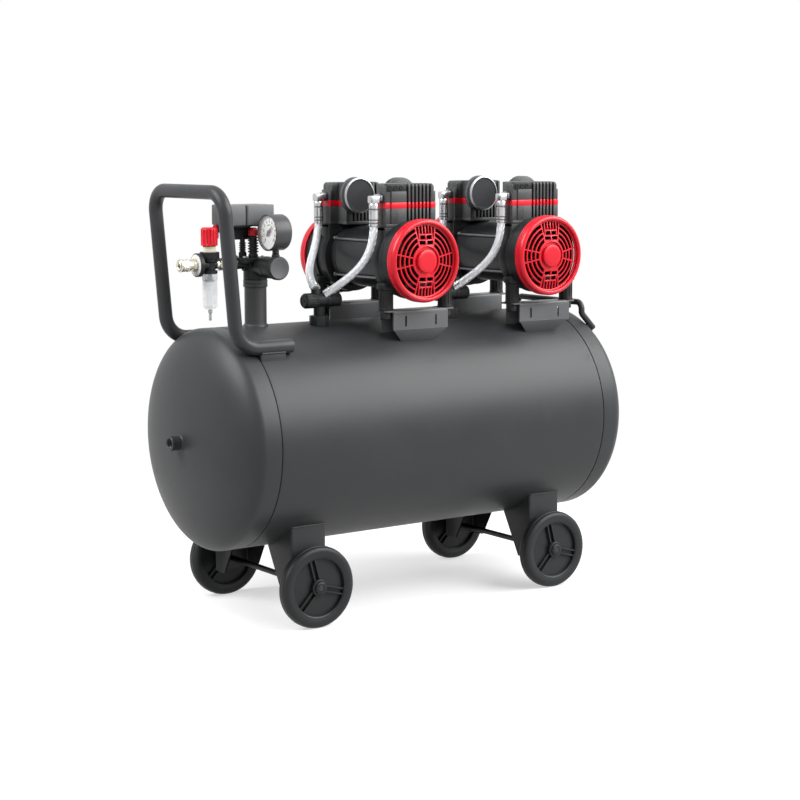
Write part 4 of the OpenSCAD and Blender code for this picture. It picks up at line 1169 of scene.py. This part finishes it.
# ---- pump units, drawn once around the motor shaft -------------------------------

guards_lo, guards_hi = span("fan_guards_1")
unit_x = [middle("rotor_shaft_1")[0], middle("rotor_shaft_2")[0]]
shaft_z = middle("rotor_shaft_1")[2]
motor_y = span("motor_case_1")[1][1]
crank_y, shroud_y, guard_y = motor_y + 30, motor_y + 60, motor_y + 80
guard_r = (guards_hi[2] - guards_lo[2]) / 2
shroud_r, crank_r = 72.0, 68.0
barrel_y = motor_y - 26
half_block, half_barrel, deck_z = 56.0, 37.0, 60.0
band_z, band_top, head_top = 94.0, 105.0, 139.0
fin_low, fin_pitch, fin_w = 66.0, 8.4, 4.2
# front face of a block: corner, smooth panel, ribs and pad; and the ribs and pads at its back
core_y, inner_y = 8 - crank_y, -barrel_y - 6
corner_to, panel_from, panel_to, fins_from, pad_from = -40.0, -44.0, -10.0, -5.8, 44.6
back_fins_from, back_pads = -27.8, ((-half_barrel, -32), (22.6, half_barrel))
shift, mount_half, foot_z = 9.0, 67.0, -40.0
bracket_top = span("brackets_1")[1][2] - shaft_z
tank_rel = tank_z - shaft_z
ends = (-1, 1)


def at_pump(shape, number):
    """A shape drawn round the motor shaft, set in place on the first or second pump."""
    return moved(shape, (unit_x[number], 0, shaft_z))


def both(shape):
    """Front end and rear end, half a turn apart."""
    return join(shape, other_end(shape))


def bracket():
    """Bent sheet: a channel with a slotted front wall, ears under the mounts and a tongue."""
    y0, y1, top, t, half = -crank_y - 19, -crank_y + 23, bracket_top, 3.0, 62.0
    wall = top - 36
    outside = eased([(y0, top - 8), (y0, top), (y1, top), (y1, wall)], [0, 5, 5, 0], False, 5)
    inside = eased([(y1 - t, wall), (y1 - t, top - t), (y0 + t, top - t), (y0 + t, top - 8)],
        [0, 2.4, 2.4, 0], False, 4)
    channel = prism(outside + inside, "x", shift - half, shift + half, 0.4)
    ears = [prism(rectangle((shift + a, y0), (shift + b, y1), 6, 5), "z", top - t, top, 0.5)
        for a, b in ((-half - 15, -half + 6), (half - 6, half + 15))]
    slots = [rectangle((s * 34 - 1.8, top - 30), (s * 34 + 1.8, top - 11), 0) for s in ends]
    front = plate(rectangle((-half, wall), (half, top - 7.6), 0), slots, 0, t, 0.3)
    front = facing(front, "-y", (shift, y0 + t, 0))
    tongue = moved(prism([(-half, 0.8), (half, 0.8), (half / 2, -30), (-half / 2, -30)], "y", 0, t,
        0.5), (shift, y0, wall), spin("X", 30))
    low = tank_rel + tank_rise(y1) - 4
    back = block((shift - half, y1 - t, low), (shift + half, y1, wall + 1), 0.5)
    weld = bar([(shift + a, y1 + 1, low + 4) for a in (-half + 6, 0, half - 6)], 2.2, 10)
    return join(channel, *ears, front, tongue, back, weld)


def rubber_mount(x):
    """Rubber post between two plates, and the buffer under the bracket."""
    low, top = bracket_top, bracket_top + 38
    post = spun([(13.4, low), (14, low + 0.6), (14, low + 3), (13.2, low + 3.8), (12.6, low + 8),
        (12.2, low + 19), (12.6, top - 8), (13.2, top - 3.8), (14, top - 3), (14, top - 0.6),
        (13.4, top)], 44)
    ribs = made(RING, block((11.6, -0.9, low + 4), (13.3, 0.9, top - 4), 0.4), Count=12)
    buffer = spun([(4, low - 17), (10, low - 16.4), (11, low - 15), (11, low - 4), (10.4, low - 3)],
        36)
    return moved(join(post, ribs, buffer), (shift + x, -crank_y - 2, 0))


def mount_hardware(x):
    """Nut, washer and stud end on a crankcase foot."""
    washer = rod(7, foot_z, foot_z + 1.4, 28)
    nut = hexagon(10, foot_z + 1.4, foot_z + 6.6, 0.7)
    stud = spun([(3, foot_z + 6), (3, foot_z + 8.6), (2.4, foot_z + 9.2)], 18)
    return moved(join(washer, nut, stud), (shift + x, -crank_y - 2, 0))


def motor_case():
    """Smooth can between two rolled end rims, with a raised cover at each end."""
    r = 58.0
    half = [(0, motor_y - 3), (40, motor_y - 3), (44, motor_y), (r - 1.2, motor_y),
        (r, motor_y - 1), *groove(r, 0.8, motor_y - 7, motor_y - 9.8), (r, motor_y - 16),
        (r - 1, motor_y - 17)]
    whole = half + [(a, -b) for a, b in reversed(half)]
    return facing(turned(whole, 120), "y")


def motor_bolts():
    """Four long bolts that clamp the motor, each with a nut at each end."""
    bolts, bolt_circle = [], 59
    for angle in (35, 145, 215, 325):
        at = (bolt_circle * cos(radians(angle)), 0, -bolt_circle * sin(radians(angle)))
        nut = facing(hexagon(8, motor_y - 8, motor_y - 2.5, 0.6), "y", at)
        bolts += [facing(rod(2.5, -motor_y, motor_y, 20), "y", at), mirrored(nut)]
    return join(*bolts)


def crankcase():
    """Round case with a flat deck for the cylinder, a shroud in front and a bar for its feet."""
    half = half_block + 3
    edge = degrees(acos(half / crank_r))
    outline = [(half, deck_z), *arc(crank_r, edge, -180 - edge, 60), (-half, deck_z)]
    case = prism(outline, "y", -crank_y, -motor_y, 1.4)
    r, c, s = shroud_r, crank_y, shroud_y
    shroud = facing(turned([(r - 4, c - 3), (r - 1, c - 3), (r, c - 2),
        *groove(r, 0.7, c + 6, c + 8.4), (r, s - 0.6), (r - 0.6, s), (r - 3.6, s),
        (r - 4, s - 0.6)], 120, ring=True), "-y")
    y = -crank_y - 2
    foot = prism(rectangle((shift - mount_half - 15, y - 13), (shift + mount_half + 15, y + 13), 8,
        6), "z", foot_z - 12, foot_z, 1.6)
    web = [prism([(-crank_y + 4, foot_z - 2), (-crank_y + 24, foot_z - 2),
        (-crank_y + 24, foot_z + 26)], "x", shift + x - 2, shift + x + 2, 0.8)
        for x in (-mount_half + 6, mount_half - 6)]
    deck_rim = block((-half, -crank_y + 0.6, deck_z - 6), (half, -motor_y - 0.6, deck_z - 0.2), 1.2)
    screws = [screw((s * 50, -crank_y, 46), "-y", 3.6, 2.4) for s in ends]
    return join(case, shroud, foot, deck_rim, *web, *screws)


def fins(outline, x):
    """Six upright ribs side by side; the outline is drawn across the pump and up."""
    rib = prism(outline, "x", x, x + fin_w, 0.45)
    return made(ROW, rib, Count=6, Step=(fin_pitch, 0.0, 0.0))


def block_plan(front, back):
    """Plan of a cylinder block: full width over the crankcase, the barrel's width behind it."""
    return [(-half_block, front), (half_block, front), (half_block, -motor_y),
        (half_barrel, -motor_y), (half_barrel, back), (-half_barrel, back),
        (-half_barrel, -motor_y), (-half_block, -motor_y)]


def block_layer(low, high, proud=0.0):
    """One height of a finned cylinder block: core, barrel, smooth panel, ribs and pads."""
    face, back_face, ease = -crank_y - proud, -barrel_y + proud, 0.6
    body = prism(block_plan(core_y, inner_y), "z", low, high, ease)
    outline = [(face, low), (face, high), (core_y + 1, high), (core_y + 1, low)]
    back = [(inner_y - 1, low), (inner_y - 1, high), (back_face, high), (back_face, low)]
    corner = block((-half_block, -crank_y + 2.2, low), (corner_to, core_y + 1, high), ease)
    smooth = block((panel_from, face, low), (panel_to, core_y + 1, high), ease)
    pad = block((pad_from, face, low), (half_block, core_y + 1, high), ease)
    pads = [block((a, inner_y - 1, low), (b, back_face, high), ease) for a, b in back_pads]
    return join(body, corner, smooth, pad, *pads, fins(outline, fins_from),
        fins(back, back_fins_from))


def cylinder():
    """A finned block on its base, with fine lines on the smooth panel."""
    base = prism(block_plan(-crank_y, -barrel_y), "z", deck_z, fin_low, 0.8)
    lines = made(ROW, block((-42.6, -crank_y - 0.35, fin_low), (-41.8, -crank_y + 1, band_z - 0.5),
        0.15), Count=5, Step=(3.1, 0.0, 0.0))
    return join(base, block_layer(fin_low - 0.5, band_z), lines)


def head():
    """The head: rounded top corners, ribs over the front and back edges, side plate and lid."""
    x0, x1, round_r, low = -half_block, half_block - 4, 8.0, band_top
    panel_top = head_top - 14
    top_left = arc(round_r, 180, 90, 8, (x0 + round_r, head_top - round_r))
    top_right = arc(round_r, 90, 0, 8, (x1 - round_r, head_top - round_r))
    shell = prism([(x0, low), *top_left, *top_right, (x1, low)], "y", core_y, -motor_y, 1.0)
    neck = prism([(-half_barrel, low), *[(max(-half_barrel, min(half_barrel, a)), b)
        for a, b in ((x0 + 9, head_top), (x1 - 9, head_top))], (half_barrel, low)], "y",
        -motor_y - 2, inner_y, 0.8)
    ribs_front = fins(eased([(-crank_y, low), (-crank_y, head_top), (core_y + 12, head_top),
        (core_y + 12, low)], [0, 5, 1, 0], steps=6), fins_from)
    ribs_back = fins([(inner_y - 1, low), (inner_y - 1, head_top), (-barrel_y, head_top),
        (-barrel_y, low)], back_fins_from)
    corner = prism([(x0, low), *top_left, (corner_to, head_top), (corner_to, low)], "y",
        -crank_y + 2.2, core_y + 1, 1.0)
    cheek = block((panel_from, -crank_y, low), (panel_to, core_y + 1, panel_top), 0.7)
    end = [(pad_from, low), *[(a, b) for a, b in top_right if a > pad_from], (x1, low)]
    end = prism(end, "y", -crank_y, core_y + 1, 0.7)
    side = block((x1 - 4, -crank_y + 0.5, low), (half_block, -motor_y, panel_top), 0.9)
    pads = [block((a, inner_y - 1, low), (b, -barrel_y, head_top - 0.5), 0.7) for a, b in back_pads]
    lid = prism(rectangle((x0 + 10, -crank_y + 10), (x1 - 10, -motor_y - 4), 5), "z", head_top - 1,
        head_top - 0.02, 0.4)
    return join(shell, neck, ribs_front, ribs_back, corner, cheek, end, side, *pads, lid)


def head_brow():
    """Black strip over the smooth panel of a head, with its chunky cover bolts and two nuts."""
    strip = block((-54, -crank_y + 1.4, head_top - 15), (-9, -crank_y + 9, head_top - 0.2), 1.2)
    bolts = [screw((x, -crank_y + 1.5, head_top - 7.4), "-y", 4.4, 1.4) for x in (-46, -34, -22)]
    nuts = [moved(hexagon(9, head_top - 1.5, head_top - 0.1, 0.4), (x, -crank_y + 17, 0))
        for x in (-40, 36)]
    return join(strip, *bolts, *nuts)


filter_drum_x, filter_drum_z, drum_r = 22.0, head_top - 24, 34.0


def silencer():
    """Round inlet filter: neck, stepped rim and a dished face with a fine groove."""
    r = drum_r
    return facing(spun([(r - 4, 0), (r - 3, 0.6), (r - 3, 3.4), (r - 1.4, 4), (r, 4.8),
        *groove(r, 1, 8, 10.4, 0.6), *groove(r, 1, 15.6, 18, 0.6), (r, 22), (r - 1.6, 23.4),
        (r - 3, 25), (r - 4.8, 25), (r - 5.4, 24.2), (r - 8, 23.9)], 96), "y",
        (filter_drum_x, -barrel_y, filter_drum_z))


def silencer_rim():
    """Bright rolled edge of the filter's lid and a thin clamp band behind it."""
    r = drum_r
    edge = turned([(r - 2.0, 23), (r - 0.4, 22), (r, 22.3), (r - 0.1, 22.9), (r - 2.4, 24.9),
        (r - 3.0, 25), (r - 2.9, 24.2)], 96, ring=True)
    clamp = turned([(r - 0.9, 8.7), (r - 0.3, 8.8), (r - 0.3, 9.6), (r - 0.9, 9.7)], 96, ring=True)
    return facing(join(edge, clamp), "y", (filter_drum_x, -barrel_y, filter_drum_z))


# ---- fan guards ------------------------------------------------------------------

field_r, dome_drop, groove_r = guard_r - 10, 6.0, 27.0
slot_r, slot_w, rib_half = (30.4, 39.4, 48.4, 57.4), 6.2, 1.3
slat_pitch, slat_half, slat_end, wedge_half = 7.1, 2.25, guard_r - 11.5, 12
# the slanted edge of a shield field: half width at the hub line and its slope
shield_w, shield_slope = 12.23, 0.1878


def shield_edge(radius):
    """Angle from the vertical at which the slanted edge of the shield field meets a circle."""
    lean = atan(shield_slope)
    return degrees(asin(shield_w * cos(lean) / radius) + lean)


def arc_slot(radius, start, end):
    """An air slot between two angles, given for any radius."""
    low, high = radius, radius + slot_w
    return arc(low, start(low), end(low), 12) + arc(high, end(high), start(high), 12)


def rib_angle(radius):
    """Half the angle that a rib covers on a circle."""
    return degrees(asin(rib_half / radius))


def flipped(line, across, up):
    """The outline mirrored by signs, still running anticlockwise."""
    line = [(across * x, up * z) for x, z in line]
    return line if across * up > 0 else line[::-1]


def guard_holes():
    """Ring slots cut by ribs, and the openings and slats of the two shield fields."""
    corners = [(a, b) for a in ends for b in ends]
    holes = []
    for radius in slot_r:
        quarter = arc_slot(radius, lambda r: wedge_half + rib_angle(r),
            lambda r: 90 - shield_edge(r))
        wedge = arc_slot(radius, lambda r: rib_angle(r) - wedge_half,
            lambda r: wedge_half - rib_angle(r))
        holes += [flipped(quarter, a, b) for a, b in corners]
        holes += [wedge, flipped(wedge, -1, 1)]
    half = [
        [(1.6, 30), (14.8, 30), (15.6, 36.5), (1.6, 36.5)],
        rectangle((1.4, 39.5), (13, 46.5), 0),
        [(15.5, 39.5), (16.6, 39.5), (20, 56.4), (20, sqrt(slat_end ** 2 - 400)),
            (15.5, sqrt(slat_end ** 2 - 240))],
    ]
    for k in (0.5, 1.5):
        x0, x1 = k * slat_pitch - slat_half, k * slat_pitch + slat_half
        half.append([(x0, 49.5), (x1, 49.5), (x1, sqrt(slat_end ** 2 - x1 ** 2)),
            (x0, sqrt(slat_end ** 2 - x0 ** 2))])
    return holes + [flipped(line, a, b) for line in half for a, b in corners]


def domed(shape):
    """The flat field sunk towards its edge."""
    points = []
    for x, y, z in shape[0]:
        share = max(0.0, hypot(x, y) - groove_r) / (field_r - groove_r)
        points.append((x, y, z - dome_drop * share))
    return points, shape[1]


def fan_guard():
    """Domed slotted field, raised rim, skirt, and the hub inside its groove, as one moulding."""
    g, r, sh = guard_y, guard_r, shroud_y
    hole = arc(groove_r - 0.3, 0, 354, 59)
    field = domed(plate(arc(field_r, 0, 357, 119), [hole] + guard_holes(), g - 4.4, g - 1.4, 0.5))
    ring = turned([(65, g - 7.3), (66.1, g - 6.9), (66.8, g - 2.8), (67.5, g - 1.2),
        (68.8, g - 0.3), (70.3, g), (72, g - 0.5), (73.8, g - 1.8), (75.2, g - 3.8), (r, g - 6.4),
        *groove(r, 0.7, sh + 7.4, sh + 5.2, 0.6), (r, sh + 0.6), (r - 0.6, sh),
        (shroud_r + 0.6, sh), (shroud_r, sh + 0.6), (shroud_r, sh + 7.6), (64.2, g - 9.8)], 144,
        ring=True)
    hub = turned([(0, g + 2.5), (13, g + 2.45), (18, g + 2.2), (20.2, g + 1.5), (21, g + 0.4),
        (21, g - 4.8), (groove_r - 0.3, g - 5), (groove_r - 0.3, g - 3.6),
        (groove_r + 1.4, g - 3.6), (groove_r + 1.4, g - 7), (0, g - 7)], 72)
    clips = made(RING, block((r - 3, -5, sh + 1), (r - 0.2, 5, sh + 4.6), 0.5), Count=6)
    return facing(join(field, ring, hub, clips), "-y")


# ---- hoses and check valve -------------------------------------------------------

valve_x, valve_y, valve_z = -154.0, -32.0, tank_top + 41.7 - shaft_z
elbow_x, elbow_y, elbow_z = -half_block - 17, crank_y - 15, 113.0
hose_r, hose_top = 7.5, 62.0
wire_r, wire_count, braid_pitch = 0.48, 16, 40
route_front = [(elbow_x, -elbow_y, hose_top), (elbow_x - 1.7, 1.4 - elbow_y, hose_top - 68),
    (elbow_x - 28, valve_y - 34.7, valve_z + 46.7), (valve_x + 11.5, valve_y - 3, valve_z + 9.5)]
route_rear = [(elbow_x, elbow_y, hose_top), (elbow_x - 8, elbow_y + 1.5, hose_top - 75.5),
    (valve_x - 2.2, valve_y + 53, valve_z + 56), (valve_x - 7, valve_y, valve_z + 21)]


def curve_points(corners):
    """Points along a cubic curve with four control points."""
    a, b, c, d = [Vector(p) for p in corners]
    count = 28
    points = []
    for k in range(count + 1):
        t = k / count
        s = 1 - t
        points.append(a * s ** 3 + b * 3 * t * s ** 2 + c * 3 * t * t * s + d * t ** 3)
    return points


def strand_line(path, radius, phase, turns):
    """One braid wire: a helix round the hose, just above its core."""
    each = 3
    steps = (len(path) - 1) * each
    line, side = [], Vector((0, 1, 0))
    for k in range(steps + 1):
        t = k / each
        i = min(int(t), len(path) - 2)
        along = (path[i + 1] - path[i]).normalized()
        spot = path[i].lerp(path[i + 1], t - i)
        side = (side - along * side.dot(along)).normalized()
        across = along.cross(side)
        angle = phase + tau * turns * k / steps
        line.append(tuple(spot + (side * cos(angle) + across * sin(angle)) * radius))
    return line


def hose(route):
    """A core tube under a braid of wires that cross in both directions."""
    path = curve_points(route)
    core = bar([tuple(p) for p in path], hose_r - 0.55, 32)
    turns = sum((b - a).length for a, b in zip(path, path[1:])) / braid_pitch
    wires = []
    for k in range(wire_count):
        for way in ends:
            line = strand_line(path, hose_r - 0.5, tau * k / wire_count, way * turns)
            wires.append(bar(line, wire_r, 5))
    return join(core, *wires)


def hose_end(route):
    """The crimp sleeve that holds the hose on the check valve."""
    length = 15.0
    path = curve_points(route)
    tip, back = path[-1], (path[-4] - path[-1]).normalized()
    sleeve = turned([(7.6, 0), (8.8, 0.5), *groove(8.8, 0.7, 3.4, 5.6, 0.6),
        *groove(8.8, 0.7, 8.4, 10.6, 0.6), (8.8, length - 1), (7.6, length)], 36)
    turn_to = Vector((0, 0, 1)).rotation_difference(back).to_matrix().to_4x4()
    return moved(sleeve, tuple(tip), turn_to)


def at_elbow(*shapes):
    """Shapes set in place at the front hose's elbow."""
    return moved(join(*shapes), (elbow_x, -elbow_y, elbow_z))


def elbow():
    """Bent outlet pipe with its collar block and the long crimp sleeve at the top of a hose."""
    pipe = bar(lane([(-half_block + 0.5, -elbow_y, elbow_z), (elbow_x, -elbow_y, elbow_z),
        (elbow_x, -elbow_y, elbow_z - 14)], [7.9], 10), 7.4, 24)
    sleeve = [(6, -9), (8, -9.6), (8.6, -10.4), (8.9, -11.4), *groove(8.9, 1, -18.4, -22),
        *groove(8.9, 0.8, -38, -41), *groove(8.9, 0.8, -43.6, -46.4), (8.9, -50.4), (8.1, -51),
        (6, -51)]
    collar = block((-8.6, -8.2, -9.6), (8.6, 8.2, 4.5), 2.2)
    return join(pipe, at_elbow(collar, turned(sleeve, 36)))


def elbow_nut():
    """Dark union nut between elbow and head; rings of painted shade in the sleeve's grooves."""
    nut = facing(join(hexagon(17, 8.4, 15, 1.2), rod(7.6, 15, 17, 30)), "x")
    # dark rings of painted shade in the bottoms of the sleeve's three grooves
    groove_shade_rings = [turned([(7.4, z), (8.45, z + 0.1), (8.45, z + 1.3), (7.4, z + 1.4)], 36, ring=True)
        for z in (-20.9, -40.2, -45.7)]
    return at_elbow(nut, *groove_shade_rings)


def check_valve():
    """Tee on a pillar: knurled left cap, plain right cap, stub for the rear hose, octagon base."""
    x, y, z = valve_x, valve_y, valve_z
    top = tank_rel + tank_r
    base = prism(polygon(18.5, 8), "z", top - 9, top + 14, 1.2)
    pillar = turned([(0, top), (10, top), (10, z - 12), (11.5, z - 10), (0, z - 8)], 40)
    tee = facing(rod(12, -30, 30, 44), "x", (0, 0, z))
    left = fluted([(0.001, 6, 0), (13, 6, 0), (14, 7, 0.7), (14, 30, 0.7), (13.2, 31.6, 0.2),
        (11, 34, 0), (8.6, 34, 0), (8, 33.2, 0), (3, 33.2, 0), (2.6, 33.8, 0), (0.001, 33.8, 0)],
        24, 6)
    right = spun([(12.4, 12), (13, 12.6), *groove(13, 0.7, 20, 23, 0.8), (13, 42), (12, 43)], 48)
    stub = moved(spun([(8.5, z), (8.5, z + 18), (7.6, z + 20.8)], 36), (-7, 0, 0))
    whole = join(base, pillar, tee, facing(left, "-x", (0, 0, z)), facing(right, "x", (0, 0, z)),
        stub)
    return moved(whole, (x, y, 0))


def mm_to_m(point, number):
    """A point on a pump, in metres in the shared frame."""
    x, y, z = point
    return ((x + unit_x[number]) * MM, y * MM, (z + shaft_z) * MM)


hose_shapes = {"front": (hose(route_front), route_front), "rear": (hose(route_rear), route_rear)}
shapes = {
    "brackets": (mirrored(bracket()), sheet_coat),
    "rubber_mounts": (mirrored(join(*[rubber_mount(s * mount_half) for s in ends])), rubber),
    "motor_case": (motor_case(), black_gloss),
    "crankcases": (mirrored(crankcase()), black),
    "cylinders": (both(cylinder()), casting),
    "head_bands": (both(block_layer(band_z, band_top, 0.25)), red),
    "cylinder_heads": (both(head()), casting),
    "inlet_filters": (both(silencer()), lid_grey),
    "fan_guards": (both(fan_guard()), red),
    "hose_fittings": (mirrored(elbow()), chrome),
    "check_valve": (check_valve(), black),
}
extras = {
    "motor_bolts": (motor_bolts(), dark_zinc, "axle_steel"),
    "mount_nuts": (mirrored(mount_hardware(mount_half)), zinc, "axle_steel"),
    "head_brows": (both(head_brow()), black, "black_paint"),
    "filter_rims": (both(silencer_rim()), lid_edge, "axle_steel"),
    # union nuts, with the rings of painted shade in the sleeve grooves
    "elbow_nuts": (mirrored(elbow_nut()), dark_zinc, "axle_steel"),
    "hose_ends": (join(hose_end(route_front), hose_end(route_rear)), chrome, "axle_steel"),
}
for number in (0, 1):
    tail = f"_{number + 1}"
    for name, (shape, material) in shapes.items():
        piece(name + "_skin" + tail, at_pump(shape, number), material, name + tail)
    for name, (shape, material, slot) in extras.items():
        piece(name + tail, at_pump(shape, number), material, slot=slot)
    for name, (shape, route) in hose_shapes.items():
        thing = piece(f"hose_{name}{tail}", at_pump(shape, number), wire, "hoses" + tail)
        path = [mm_to_m(p, number) for p in curve_points(route)]
        length = sum(dist(a, b) for a, b in zip(path, path[1:]))
        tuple(path[0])
    for node, material in ((f"rotor_shaft{tail}", zinc), (f"fans{tail}", dull_black)):
        mesh = frame["nodes"][node].data
        mesh.materials.clear()
        mesh.materials.append(material)

# ---- floor, backdrop and lamps ---------------------------------------------------

def seen(graph, plain, bright):
    """A mix that shows the bright shader to the camera and in reflections."""
    path = graph.raw("ShaderNodeLightPath").outputs
    either = graph.node("ShaderNodeMath", {"operation": "MAXIMUM"}, [path["Is Camera Ray"],
        path["Is Glossy Ray"]])
    shown = graph.node("ShaderNodeMath", {"operation": "MAXIMUM"},
        [either, path["Is Transmission Ray"]])
    return graph.node("ShaderNodeMixShader", {}, [shown, plain, bright])


WHITE = (1, 1, 1, 1)
fill_light = 0.08
floor_tone, shade_tone, near_glow = 0.34, 0.52, 0.55
glow_from, glow_to, floor_half = 0.9, 1.8, 14.0

world = bpy.data.worlds.new("studio")
scene.world = world
world.use_nodes = True
sky = Graph(world.node_tree)
sky.nodes.clear()
backgrounds = [sky.node("ShaderNodeBackground", {}, {"Color": WHITE, "Strength": strength})
    for strength in (fill_light, 1.0)]
surface = sky.raw("ShaderNodeOutputWorld").inputs["Surface"]
sky.put(surface, seen(sky, *backgrounds))

floor_look = Look("pale floor")
far = floor_look.node("ShaderNodeVectorMath", {"operation": "LENGTH"}, [floor_look.spot], "Value")
plain, shade = [floor_look.node("ShaderNodeBsdfDiffuse", {}, {"Color": (tone, tone, tone, 1)})
    for tone in (floor_tone, shade_tone)]
white_glow, soft_glow = [floor_look.node("ShaderNodeEmission", {}, {"Color": WHITE, "Strength": s})
    for s in (1.0, near_glow)]
near = floor_look.node("ShaderNodeAddShader", {}, [soft_glow, shade])
pale = floor_look.node("ShaderNodeMixShader", {}, [floor_look.ramp(far, glow_from, glow_to), near,
    white_glow])
floor_look.nodes.remove(floor_look.shader)
surface = floor_look.nodes["Material Output"].inputs["Surface"]
floor_look.put(surface, seen(floor_look, plain, pale))
ground = bpy.data.meshes.new("floor")
corners = [(x * floor_half, y * floor_half, 0) for x, y in ((-1, -1), (1, -1), (1, 1), (-1, 1))]
ground.from_pydata(corners, [], [(0, 1, 2, 3)])
ground.materials.append(floor_look.material)
floor = bpy.data.objects.new("floor", ground)
scene.collection.objects.link(floor)


def lamp(name, at, aim, width, height, power):
    """A soft rectangular lamp that faces a point."""
    data = bpy.data.lights.new(name, "AREA")
    data.shape, data.size, data.size_y, data.energy = "RECTANGLE", width, height, power
    thing = bpy.data.objects.new(name, data)
    scene.collection.objects.link(thing)
    thing.location = at
    thing.rotation_euler = (Vector(aim) - Vector(at)).to_track_quat("-Z", "Y").to_euler()


lamp("front", at=(2.1, -2.15, 2.6), aim=(0, 0, 0.45), width=4.3, height=2.7, power=300)
lamp("handle_side", at=(-2.6, 0.4, 2.8), aim=(-0.4, 0, 0.5), width=2.3, height=2.2, power=155)
